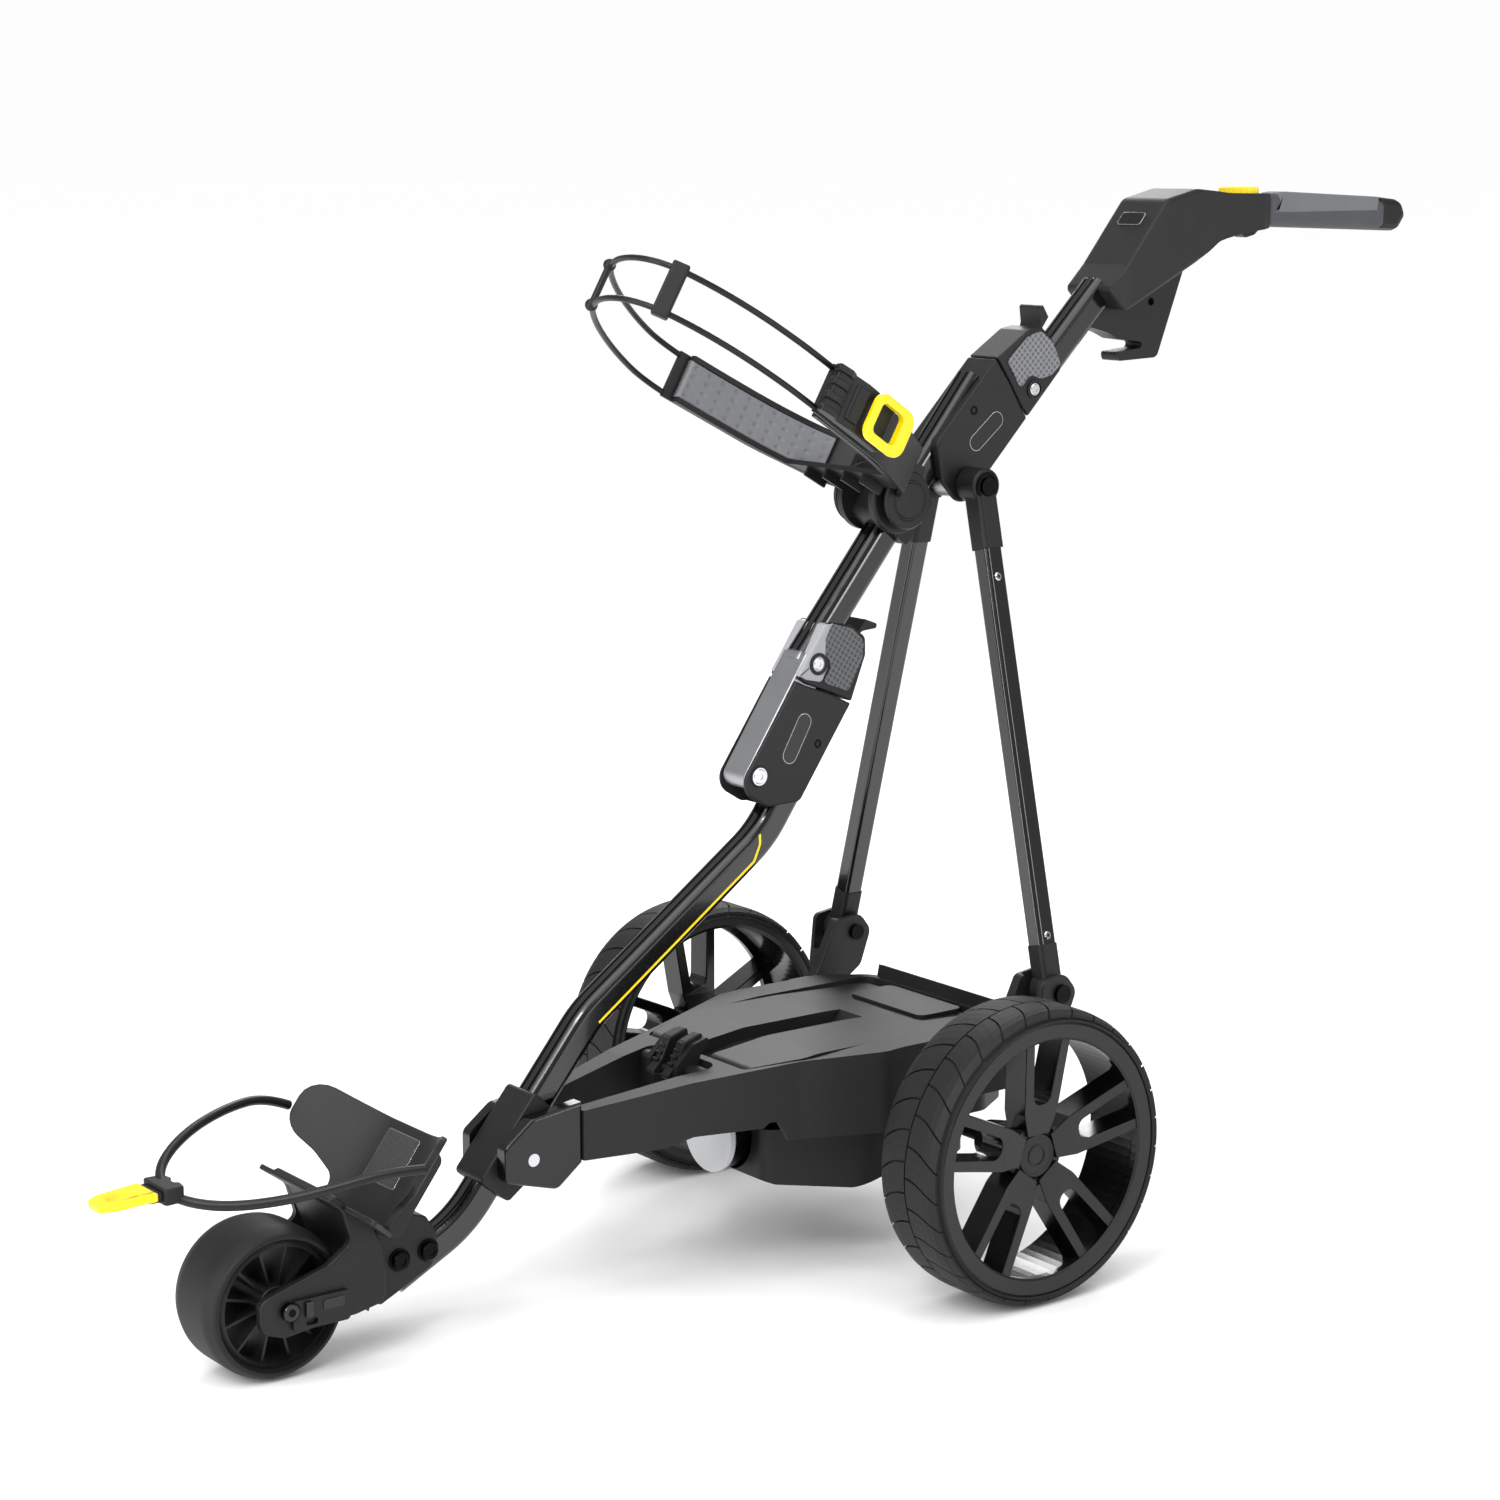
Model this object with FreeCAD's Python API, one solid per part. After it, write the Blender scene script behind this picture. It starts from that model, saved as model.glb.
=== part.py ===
import FreeCAD, Part
import math
import os

os.makedirs("parts", exist_ok=True)
V = FreeCAD.Vector

# Driving dimensions, millimetres and degrees. X runs from the front wheel to the handle, Y across, Z up.
rear_wheel_r = 140
rear_tyre_width = 82
rear_rim_r = 129
rear_hub_r = 21
wheel_inner_y = 213.4          # centre plane to the inner face of a rear tyre
spoke_pairs = 5
front_wheel_r = 68
front_tyre_width = 74.6
front_rim_r = 57
front_axle_x = -656
front_spokes = 12
drive_axle_r = 6
front_axle_r = 5

tube_width = 28                # across Y
tube_depth = 30
tube_wall = 2
tube_corner_r = 7.5
tube_bend_r = 120
foot_angle, foot_length = 27, 82.5
clamp_angle, clamp_run = 50.7, 219.6
rise_angle, rise_run = 35.7, 247.4
top_angle, top_run = 55, 126
middle_angle, middle_run = 50.7, 360.7
handle_angle = 45

pivot_x = -395
pivot_above_axle = 10
pivot_along = 79.3             # from the first bend to the chassis pivot, along the tube
pivot_behind = 8.4
pivot_pin_r = 6
lower_pin_along = 41.3         # from the third bend to the lower hinge pin
lower_pin_front = 48.8
lower_hinge_angle = 55.4
upper_hinge_angle = 46
middle_front = 12.3            # middle tube axis ahead of the lower hinge pin
upper_pin_behind = 42.8
hinge_pin_r = 5
latch_pin_r = 4
latch_from_pin = 122
hinge_half_width = 22

strut_foot_x = 115.5
strut_foot_rise = 115
strut_foot_y = 160
strut_head_y = 39
strut_width = 20
strut_depth = 21
strut_wall = 1.6
strut_bolt_r = 5

arm_half_front = 34
tray_wall = 4
bay_floor_rise = 28            # battery bay floor above the rear axle
battery_length = 288
battery_half_width = 98
battery_height = 48
motor_r = 36
motor_drop = 14                # motor shaft below the rear axle
stage_module = 1.0
motor_teeth, counter_teeth = 10, 18
face_module = 1.1
face_pinion_teeth, crown_teeth = 10, 30

rest_slope = 53                # bag axis slope at the lower rest
cradle_slope = 60              # bag axis slope at the upper cradle
cradle_half_gap = 20           # half the distance between the two cradle cords
strap_r = 4.5
cord_r = 2.8
grip_tip_x = 740
grip_half_width = 16

pivot_gap = 0.06               # radial running clearance on pins and axles
side_gap = 0.4                 # clearance between cheeks that turn past each other
body_gap = 1.2                 # clearance between covers on different moving parts

axle_z = rear_wheel_r
front_axle_z = front_wheel_r
motor_z = axle_z - motor_drop


def direction(angle):
    return math.cos(math.radians(angle)), math.sin(math.radians(angle))


def step(point, distance, angle, front=0):
    """Side-view point a distance along an angle and then ahead of that line."""
    c, s = direction(angle)
    return point[0] + distance * c - front * s, point[1] + distance * s + front * c


def local(origin, angle, side=1):
    """Side-view frame: u along the angle, w to the rear and down, or to the front when side is -1."""
    c, s = direction(angle)

    def place(u, w, r=0):
        return origin[0] + u * c + side * w * s, origin[1] + u * s - side * w * c, r
    return place


def rounded_edges(points, radii, closed=True):
    count = len(points)
    entries = []
    for i, here in enumerate(points):
        if radii[i] == 0:
            entries.append((here, None, here))
            continue
        back = (points[i - 1] - here).normalize()
        ahead = (points[(i + 1) % count] - here).normalize()
        half = back.getAngle(ahead) / 2
        reach = radii[i] / math.tan(half)
        middle = here + (back + ahead).normalize() * (radii[i] / math.sin(half) - radii[i])
        entries.append((here + back * reach, middle, here + ahead * reach))
    edges = []
    for i, (start, middle, end) in enumerate(entries):
        if middle:
            edges.append(Part.Arc(start, middle, end).toShape())
        if i == count - 1 and not closed:
            break
        following = entries[(i + 1) % count][0]
        if end.distanceToPoint(following) > 1e-6:
            edges.append(Part.LineSegment(end, following).toShape())
    return Part.Wire(edges)


def corner_radii(points):
    return [p[2] if len(p) > 2 else 0 for p in points]


def plate(points, low, high):
    """Side-view outline of (x, z, corner radius) extruded across Y."""
    wire = rounded_edges([V(p[0], low, p[1]) for p in points], corner_radii(points))
    return Part.Face(wire).extrude(V(0, high - low, 0))


def slab(points, low, high):
    """Plan outline of (x, y, corner radius) extruded up Z."""
    wire = rounded_edges([V(p[0], p[1], low) for p in points], corner_radii(points))
    return Part.Face(wire).extrude(V(0, 0, high - low))


def turned(points, x, z):
    """Solid turned about the cross axis at (x, z) from a (radius, y, corner radius) outline."""
    wire = rounded_edges([V(x, p[1], z + p[0]) for p in points], corner_radii(points))
    return Part.Face(wire).revolve(V(x, 0, z), V(0, 1, 0), 360)


def rod(point, r, y0, y1):
    return Part.makeCylinder(r, y1 - y0, V(point[0], y0, point[1]), V(0, 1, 0))


def bar(x0, x1, y, z, r):
    return Part.makeCylinder(r, x1 - x0, V(x0, y, z), V(1, 0, 0))


def block(x0, x1, y0, y1, z0, z1):
    return Part.makeBox(x1 - x0, y1 - y0, z1 - z0, V(x0, y0, z0))


def mirrored(shape):
    return shape.mirror(V(0, 0, 0), V(0, 1, 0))


def pair(shape):
    return Part.makeCompound([shape, mirrored(shape)])


def fused(first, *others):
    return first.fuse(list(others)).removeSplitter()


def softened(shape, radius, low, high):
    """Fillets the outline edges that lie in the two side planes."""
    edges = []
    for edge in shape.Edges:
        ys = [v.Point.y for v in edge.Vertexes]
        if max(ys) - min(ys) < 1e-6 and min(abs(ys[0] - low), abs(ys[0] - high)) < 1e-6:
            edges.append(edge)
    return shape.makeFillet(radius, edges)


def box_section(start, across, over, width, depth, corner):
    points = [start + across * (a * width / 2) + over * (b * depth / 2)
              for a, b in ((-1, -1), (1, -1), (1, 1), (-1, 1))]
    return rounded_edges(points, [corner] * 4)


def swept(points, radii, section):
    return rounded_edges(points, radii, closed=False).makePipeShell([section], True, False)


def side_tube(points, width, depth, corner, reach=0):
    """Box-section tube along side-view points, with the bends of the frame."""
    first = step(points[0], -reach, heading(points[0], points[1]))
    last = step(points[-1], reach, heading(points[-2], points[-1]))
    route = [V(p[0], 0, p[1]) for p in [first] + points[1:-1] + [last]]
    c, s = direction(heading(points[0], points[1]))
    section = box_section(route[0], V(0, 1, 0), V(-s, 0, c), width, depth, corner)
    return swept(route, [0] + [tube_bend_r] * (len(route) - 2) + [0], section)


def heading(start, end):
    return math.degrees(math.atan2(end[1] - start[1], end[0] - start[0]))


def hollow_tube(points):
    outer = side_tube(points, tube_width, tube_depth, tube_corner_r)
    inner = side_tube(points, tube_width - 2 * tube_wall, tube_depth - 2 * tube_wall,
                      tube_corner_r - tube_wall, reach=1)
    return outer.cut(inner)


def tilted(shape, origin, slope):
    """Places a shape built as (rearward, y, along the bag) on a bag axis of that slope."""
    turn = FreeCAD.Rotation(V(0, 1, 0), 90 - slope)
    shape = shape.copy()
    shape.Placement = FreeCAD.Placement(V(origin[0], 0, origin[1]), turn).multiply(shape.Placement)
    return shape


def tilted_point(back, y, along, origin, slope):
    turn = FreeCAD.Rotation(V(0, 1, 0), 90 - slope)
    return turn.multVec(V(back, y, along)) + V(origin[0], 0, origin[1])


# Anchor points in side view.
pivot = (pivot_x, axle_z + pivot_above_axle)
bend_1 = step(pivot, -pivot_along, clamp_angle, pivot_behind)
tube_foot = step(bend_1, -foot_length, foot_angle)
bend_2 = step(bend_1, clamp_run, clamp_angle)
bend_3 = step(bend_2, rise_run, rise_angle)
tube_top = step(bend_3, top_run, top_angle)
lower_pin = step(bend_3, lower_pin_along, top_angle, lower_pin_front)
middle_low = step(lower_pin, 0, middle_angle, middle_front)
middle_high = step(middle_low, middle_run, middle_angle)
upper_pin = step(middle_high, 0, middle_angle, -upper_pin_behind)
strut_foot = (strut_foot_x, axle_z + strut_foot_rise)
front_axle = (front_axle_x, front_axle_z)

main_points = [tube_foot, bend_1, bend_2, bend_3, tube_top]
main_outer = side_tube(main_points, tube_width, tube_depth, tube_corner_r)


def tube_run(start, end, angle):
    """Straight tube between two points, solid outside and hollow."""
    points = [start, end]
    return side_tube(points, tube_width, tube_depth, tube_corner_r), hollow_tube(points)


middle_socket = 124            # from the lower hinge pin to the end of the middle tube
middle_outer, middle_tube = tube_run(step(middle_low, middle_socket, middle_angle),
                                     step(middle_high, 92, middle_angle), middle_angle)
handle_axis_front = 3
handle_low = step(upper_pin, middle_socket, handle_angle, -handle_axis_front)
handle_high = step(upper_pin, 262, handle_angle, -handle_axis_front)
handle_outer, handle_tube = tube_run(handle_low, handle_high, handle_angle)


def spigot(start, angle):
    """Plug that fills the mouth of a moving tube, with a root in the foot behind the mouth."""
    root = step(start, -8, angle)
    end = step(start, 30, angle)
    return side_tube([root, end], tube_width - 2 * tube_wall, tube_depth - 2 * tube_wall,
                     tube_corner_r - tube_wall)


def hinge(origin, angle, side, fixed_tube, moving_start, moving_angle):
    """Folding joint: cheeked housing, foot of the moving tube, latch lever, pads and pins."""
    place = local(origin, angle, side)
    width = hinge_half_width
    foot_half = width - 4.2
    housing = plate([place(-22, -13, 17), place(96, -13, 1.5), place(98.3, 0), place(105.6, 27.5, 1),
                     place(110.5, 57, 1), place(3, 57, 9), place(-20, 25, 12)],
                    -width, width)
    housing = softened(housing, 2.5, -width, width)
    slot = plate([place(-40, -30), place(130, -30), place(130, 29, 2), place(-40, 29, 2)],
                 -foot_half - side_gap, foot_half + side_gap)
    pin_hole = rod(place(0, 0), hinge_pin_r, -width - 5, width + 5)
    screw_seat = rod(place(0, 0), 9, width - 1, width + 5)
    housing = housing.cut([slot, pin_hole, fixed_tube, screw_seat, mirrored(screw_seat)])

    foot = plate([place(-14, -12.2, 11), place(126, -14.5, 2), place(126, 15, 2), place(40, 15, 6),
                  place(20, 12.5, 8), place(-14, 12.5, 12)], -foot_half, foot_half)
    beyond_mouth = side_tube([moving_start, step(moving_start, 60, moving_angle)],
                             3 * tube_width, 3 * tube_depth, tube_corner_r)
    foot = softened(foot, 2, -foot_half, foot_half).cut(beyond_mouth)
    plug = spigot(moving_start, moving_angle)
    latch_hole = rod(place(latch_from_pin, 0), latch_pin_r, -width - 5, width + 5)
    running_hole = rod(place(0, 0), hinge_pin_r + pivot_gap, -width, width)
    foot = fused(foot, plug).cut([running_hole, latch_hole])

    lever = plate([place(98.8, -13, 1), place(160, -13, 6), place(173, 16, 10), place(172, 36, 8),
                   place(158, 46, 8), place(112.5, 56.5, 1.5), place(106.9, 28.6, 1),
                   place(99.6, 0)], -width, width)
    lever = softened(lever, 2.5, -width, width)
    beak = plate([place(164, 6), place(184, 16, 8), place(191.5, 46, 2.5), place(187, 47, 2),
                  place(175, 32, 8), place(164, 34)], -width + 7, width - 7)
    lever_slot = plate([place(60, -30), place(200, -30), place(200, 33), place(150, 27, 3), place(60, 20.5)],
                       -foot_half - side_gap, foot_half + side_gap)
    lever_hole = rod(place(latch_from_pin, 0), latch_pin_r + pivot_gap, -width - 5, width + 5)
    latch_seat = rod(place(latch_from_pin, 0), 7, width - 1, width + 5)
    lever = fused(lever, beak).cut([lever_slot, lever_hole, latch_seat, mirrored(latch_seat)])

    pad = plate([place(110, 14, 4), place(128, 16, 10), place(134, 2, 8), place(146, -6, 6),
                 place(162, -8, 6), place(170, 16, 8), place(167, 35, 8), place(152, 43, 6),
                 place(118, 46, 4)], width, width + 1.2)
    pads = pair(pad)

    pin_length = width - 1
    pin = fused(rod(place(0, 0), hinge_pin_r, -pin_length, pin_length),
                rod(place(0, 0), 8.5, pin_length, width + 0.8),
                rod(place(0, 0), 8.5, -width - 0.8, -pin_length))
    latch_pin = fused(rod(place(latch_from_pin, 0), latch_pin_r, -pin_length, pin_length),
                      rod(place(latch_from_pin, 0), 6, pin_length + 0.1, width + 0.8),
                      rod(place(latch_from_pin, 0), 6, -width - 0.8, -pin_length - 0.1),
                      rod(place(latch_from_pin, 0), latch_pin_r, -width, width))
    return housing, foot, lever, pads, pin, latch_pin


def spur(teeth, module, bore_r, x0, x1, y, z, phase=0):
    """Straight-cut gear on an axis along X, with thin teeth for backlash."""
    pitch_r = teeth * module / 2
    root_r = pitch_r - 1.25 * module
    tip_r = pitch_r + 0.9 * module
    points = []
    for tooth in range(teeth):
        centre = 2 * math.pi * (tooth + phase) / teeth
        for r, half in ((root_r, 0.62), (pitch_r, 0.40), (tip_r, 0.18), (tip_r, -0.18), (pitch_r, -0.40),
                        (root_r, -0.62)):
            turn = centre - half * math.pi / teeth
            points.append(V(x0, y + r * math.sin(turn), z + r * math.cos(turn)))
    gear = Part.Face(Part.makePolygon(points + points[:1])).extrude(V(x1 - x0, 0, 0))
    if bore_r:
        gear = gear.cut(bar(x0 - 1, x1 + 1, y, z, bore_r))
    return gear


def wheel_spokes(inner_r, outer_r, count, y0, y1, width, spread, x, z, start):
    """Pairs of straight spokes from the hub to the rim."""
    spokes = []
    for i in range(count):
        for lean in (-1, 1) if spread else (0,):
            hub_turn = math.radians(start + 360 / count * i + lean * spread * 1.6)
            rim_turn = math.radians(start + 360 / count * i + lean * spread)
            hub = (inner_r * math.cos(hub_turn), inner_r * math.sin(hub_turn))
            rim = (outer_r * math.cos(rim_turn), outer_r * math.sin(rim_turn))
            angle = heading(hub, rim)
            length = math.dist(hub, rim)
            spoke_frame = local((x + hub[0], z + hub[1]), angle)
            spokes.append(plate([spoke_frame(-3, -width / 2), spoke_frame(length + 2, -width / 2),
                                 spoke_frame(length + 2, width / 2), spoke_frame(-3, width / 2)], y0, y1))
    return spokes


def rear_wheel():
    """Rear wheel on the +Y side: tyre, rim with paired spokes, hub cap."""
    inner = wheel_inner_y
    outer = wheel_inner_y + rear_tyre_width
    seat_r = rear_rim_r - 7
    tyre = turned([(seat_r, inner + 8), (rear_rim_r + 0.5, inner + 8), (rear_rim_r + 0.5, inner, 2),
                   (rear_wheel_r, inner, 7), (rear_wheel_r, outer, 7), (rear_rim_r + 0.5, outer, 2),
                   (rear_rim_r + 0.5, outer - 8), (seat_r, outer - 8)], 0, axle_z)
    barrel = turned([(seat_r, inner + 8), (rear_rim_r, inner + 8), (rear_rim_r, inner + 2, 1),
                     (seat_r - 4, inner + 2, 1), (seat_r - 4, outer - 2, 1), (rear_rim_r, outer - 2, 1),
                     (rear_rim_r, outer - 8), (seat_r, outer - 8)], 0, axle_z)
    face = outer - 14
    hub = turned([(drive_axle_r + pivot_gap, inner - 6), (rear_hub_r - 3, inner - 6, 2),
                  (rear_hub_r + 6, face - 28, 3), (rear_hub_r + 3, face, 2), (rear_hub_r, face, 1),
                  (rear_hub_r, face - 9), (drive_axle_r + pivot_gap, face - 9)], 0, axle_z)
    spokes = wheel_spokes(rear_hub_r + 4, seat_r - 4, spoke_pairs, face - 26, face - 3, 6, 9, 0, axle_z, 90)
    rim = fused(barrel, hub, *spokes)
    cap = turned([(0, face - 9), (rear_hub_r, face - 9), (rear_hub_r, face - 7), (rear_hub_r - 4, face - 5.5),
                  (0, face - 5)], 0, axle_z)
    return tyre, fused(rim, cap)


def cord_radii(points):
    """Bend radius at each route point, as large as its two runs allow."""
    radii = [0]
    for before, here, after in zip(points, points[1:], points[2:]):
        half_turn = (here - before).getAngle(after - here) / 2
        shorter = min((here - before).Length, (after - here).Length)
        radii.append(0.45 * shorter / math.tan(half_turn))
    return radii + [0]


def cord(name, points, r):
    radii = cord_radii(points)
    print(name, "bend radii", [round(value, 1) for value in radii[1:-1]])
    start = (points[1] - points[0]).normalize()
    section = Part.Wire(Part.makeCircle(r, points[0], start))
    body = swept(points, radii, section)
    path = rounded_edges(points, radii, closed=False)
    print(name, "volume ratio", round(body.Volume / (math.pi * r * r * path.Length), 4),
          "length", round(path.Length))
    return body


pieces = {}

# Folding joints between the three tubes.
(pieces["lower_hinge_housing"], pieces["middle_foot"], pieces["lower_latch_lever"],
 pieces["lower_latch_pads"], pieces["lower_hinge_pin"], pieces["lower_latch_pin"]) = hinge(
    lower_pin, lower_hinge_angle, 1, main_outer, step(middle_low, middle_socket, middle_angle), middle_angle)
(pieces["upper_hinge_housing"], pieces["handle_foot"], pieces["upper_latch_lever"],
 pieces["upper_latch_pads"], pieces["upper_hinge_pin"], pieces["upper_latch_pin"]) = hinge(
    upper_pin, upper_hinge_angle, -1, middle_outer, handle_low, handle_angle)
lower_latch_point = local(lower_pin, lower_hinge_angle)(latch_from_pin, 0)
upper_latch_point = local(upper_pin, upper_hinge_angle, -1)(latch_from_pin, 0)
latch_bore = hinge_half_width + 2
pieces["middle_tube"] = middle_tube.cut(rod(lower_latch_point, latch_pin_r, -latch_bore, latch_bore))
pieces["handle_tube"] = handle_tube.cut(rod(upper_latch_point, latch_pin_r, -latch_bore, latch_bore))

# Main tube with the pivot clamp on it.
clamp_frame = local(bend_1, clamp_angle)
clamp_half = 23
clamp = plate([clamp_frame(37, -19, 5), clamp_frame(132, -19, 5), clamp_frame(128, 20, 8),
               clamp_frame(92, 26, 8), clamp_frame(60, 26, 8), clamp_frame(37, 20, 5)], -clamp_half,
              clamp_half)
clamp = softened(clamp, 2, -clamp_half, clamp_half)
pivot_end = arm_half_front + 4
pieces["tube_clamp"] = clamp.cut([main_outer, rod(pivot, pivot_pin_r, -clamp_half, clamp_half)])
pieces["main_tube"] = hollow_tube(main_points).cut(rod(pivot, pivot_pin_r, -clamp_half, clamp_half))
pieces["chassis_pivot_pin"] = rod(pivot, pivot_pin_r, -pivot_end, pivot_end)

# Front bracket, fork arms and the wheel in it.
fork_half = front_tyre_width / 2 + 8
fork_wall = 7


def by_wheel(dx, dz, r=0):
    return front_axle[0] + dx, front_axle[1] + dz, r


crown_top = (tube_foot[0] - 94, tube_foot[1] + 110)
crown_outline = [(crown_top[0] + 2, crown_top[1] - 8, 2), (crown_top[0] + 12, crown_top[1] - 5, 3),
                 (crown_top[0] + 49, crown_top[1] - 39, 6),
                 (crown_top[0] + 56, crown_top[1] - 56, 6), (crown_top[0] + 60, crown_top[1] - 84),
                 (crown_top[0] + 60, crown_top[1] - 104, 4), (crown_top[0] + 55, crown_top[1] - 111, 4),
                 (crown_top[0] + 30, crown_top[1] - 116, 4)]
arm_outline = crown_outline + [by_wheel(38, -19, 6), by_wheel(-4, -24, 14), by_wheel(-27, -16, 14),
                               by_wheel(-28, 13, 12), by_wheel(39, 32, 10), by_wheel(63, 48, 8),
                               by_wheel(54, 78, 14)]
arm = softened(plate(arm_outline, fork_half - 1, fork_half + fork_wall), 2.5, fork_half + fork_wall, 1e6)
wheel_room = rod(front_axle, front_wheel_r + 9, -fork_half, fork_half)
crown = plate(crown_outline[:5] + [by_wheel(82, -20), by_wheel(76, 20), by_wheel(64, 50, 8),
                                   by_wheel(54, 78, 8)], -fork_half, fork_half).cut(wheel_room)
bracket_half = 30
collar = plate([(tube_foot[0] - 36, tube_foot[1] + 54), (tube_foot[0] - 8, tube_foot[1] + 70, 5),
                (tube_foot[0] + 21, tube_foot[1] + 61, 10), (tube_foot[0] + 32, tube_foot[1] + 43, 6),
                (tube_foot[0] + 32, tube_foot[1] + 22, 6), (tube_foot[0] + 25, tube_foot[1] + 12, 4),
                (tube_foot[0] - 26, tube_foot[1] - 12), (tube_foot[0] - 42, tube_foot[1] - 8),
                (tube_foot[0] - 38, tube_foot[1] + 28)], -bracket_half, bracket_half)
collar = softened(collar, 2.5, -bracket_half, bracket_half)
bolt_points = [(tube_foot[0] - 8, tube_foot[1] + 26), (tube_foot[0] + 22, tube_foot[1] + 29)]
bolt_r = 4
bolt_holes = [rod(p, bolt_r, -fork_half, fork_half) for p in bolt_points]
axle_hole = rod(front_axle, front_axle_r, -fork_half - 20, fork_half + 20)
bracket = fused(crown, collar, arm, mirrored(arm)).cut([main_outer, axle_hole] + bolt_holes)
pieces["front_bracket"] = bracket
pieces["main_tube"] = pieces["main_tube"].cut(bolt_holes)
pieces["bracket_bolts"] = Part.makeCompound([
    fused(rod(p, bolt_r, -bracket_half, bracket_half),
          Part.makeCylinder(8, 5, V(p[0], bracket_half, p[1]), V(0, 1, 0)),
          Part.makeCylinder(8, 5, V(p[0], -bracket_half - 5, p[1]), V(0, 1, 0))) for p in bolt_points])

adjuster_y = fork_half + fork_wall
adjuster = plate([by_wheel(2, 9, 3), by_wheel(58, 9, 3), by_wheel(58, -18, 4), by_wheel(2, -18, 3)],
                 adjuster_y, adjuster_y + 4)
adjuster_slot = plate([by_wheel(14, -9, 3), by_wheel(26, -9, 3), by_wheel(26, -15, 2.9), by_wheel(14, -15,
                                                                                                  2.9)],
                      adjuster_y - 1, adjuster_y + 5)
pieces["axle_adjusters"] = pair(adjuster.cut([adjuster_slot, rod(front_axle, 9, 0, 90)]))
pieces["front_axle"] = fused(rod(front_axle, front_axle_r, -adjuster_y - 4, adjuster_y + 4),
                             rod(front_axle, 8.5, adjuster_y, adjuster_y + 5),
                             rod(front_axle, 8.5, -adjuster_y - 5, -adjuster_y))

front_half = front_tyre_width / 2
pieces["front_tyre"] = turned([(front_rim_r, -front_half + 7), (front_rim_r + 3, -front_half, 2),
                               (front_wheel_r - 5, -front_half, 5), (front_wheel_r, -front_half + 14, 24),
                               (front_wheel_r, front_half - 14, 24), (front_wheel_r - 5, front_half, 5),
                               (front_rim_r + 3, front_half, 2), (front_rim_r, front_half - 7)],
                              *front_axle)
bearing_r = 11
hub_half = front_half - 8
front_barrel = turned([(front_rim_r, -front_half + 7), (front_rim_r, front_half - 7), (front_rim_r - 5,
                                                                                       front_half - 4),
                       (front_rim_r - 5, -front_half + 4)], *front_axle)
front_hub = turned([(bearing_r, -hub_half), (bearing_r + 5, -hub_half, 1.5), (bearing_r + 5, hub_half, 1.5),
                    (bearing_r, hub_half)], *front_axle)
front_ribs = wheel_spokes(bearing_r + 4, front_rim_r - 4.5, front_spokes, -hub_half + 4, hub_half - 4, 2.4, 0,
                          front_axle[0], front_axle[1], 15)
bearing_seat = rod(front_axle, bearing_r, -front_half, front_half)
pieces["front_rim"] = fused(front_barrel, front_hub, *front_ribs).cut(bearing_seat)
pieces["front_bearings"] = pair(turned([(front_axle_r + pivot_gap, hub_half - 8), (bearing_r, hub_half - 8),
                                        (bearing_r, hub_half), (front_axle_r + pivot_gap, hub_half)],
                                       *front_axle))

# Rear wheels, each free to overrun the drive axle.
tyre, rim = rear_wheel()
for side_name, place_side in (("right", mirrored), ("left", lambda shape: shape)):
    pieces[side_name + "_tyre"] = place_side(tyre)
    pieces[side_name + "_rim"] = place_side(rim)
axle_end = wheel_inner_y + rear_tyre_width - 14 - 9 - 0.5
pieces["drive_axle"] = rod((0, axle_z), drive_axle_r, -axle_end, axle_end)

# Crown gear on the axle, counter shaft and motor rotor.
crown_pitch_r = crown_teeth * face_module / 2
pinion_pitch_r = face_pinion_teeth * face_module / 2
crown_face_y = -pinion_pitch_r
tooth_in_r, tooth_out_r = crown_pitch_r - 3, crown_pitch_r + 2.6
crown_root = crown_face_y - 1.5 * face_module
crown_body = turned([(drive_axle_r, crown_face_y - 14), (12, crown_face_y - 14, 2), (12, crown_face_y - 8, 2),
                     (tooth_out_r, crown_face_y - 8, 1), (tooth_out_r, crown_root),
                     (drive_axle_r, crown_root)], 0, axle_z)
tooth_turn = 2 * math.pi / crown_teeth
crown_teeth_bodies = []
for i in range(crown_teeth):
    centre = math.pi + (i + 0.5) * tooth_turn
    corners = []
    for r, share in ((tooth_in_r, -0.17), (tooth_out_r, -0.17), (tooth_out_r, 0.17), (tooth_in_r, 0.17)):
        turn = centre + share * tooth_turn
        corners.append((r * math.cos(turn), axle_z + r * math.sin(turn)))
    crown_teeth_bodies.append(plate(corners, crown_root - 0.2, crown_face_y + 0.6 * face_module))
pieces["axle_gear"] = fused(crown_body, *crown_teeth_bodies)
counter_x = -crown_pitch_r - 3
pieces["counter_shaft"] = fused(bar(counter_x - 50, counter_x - 4.5, 0, axle_z, 4),
                                spur(face_pinion_teeth, face_module, 0, counter_x - 4.5, counter_x + 5, 0,
                                     axle_z,
                                     phase=0.5),
                                spur(counter_teeth, stage_module, 0, counter_x - 46, counter_x - 36, 0,
                                     axle_z,
                                     phase=0.5))
motor_back = counter_x - 56
motor_front = motor_back - 98
motor_shaft_r = 3.2
pieces["motor_shaft"] = fused(bar(motor_front + 14, counter_x - 47, 0, motor_z, motor_shaft_r),
                              bar(motor_front + 22, motor_back - 16, 0, motor_z, motor_r - 16),
                              spur(motor_teeth, stage_module, 0, counter_x - 48, counter_x - 34, 0, motor_z))

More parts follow.
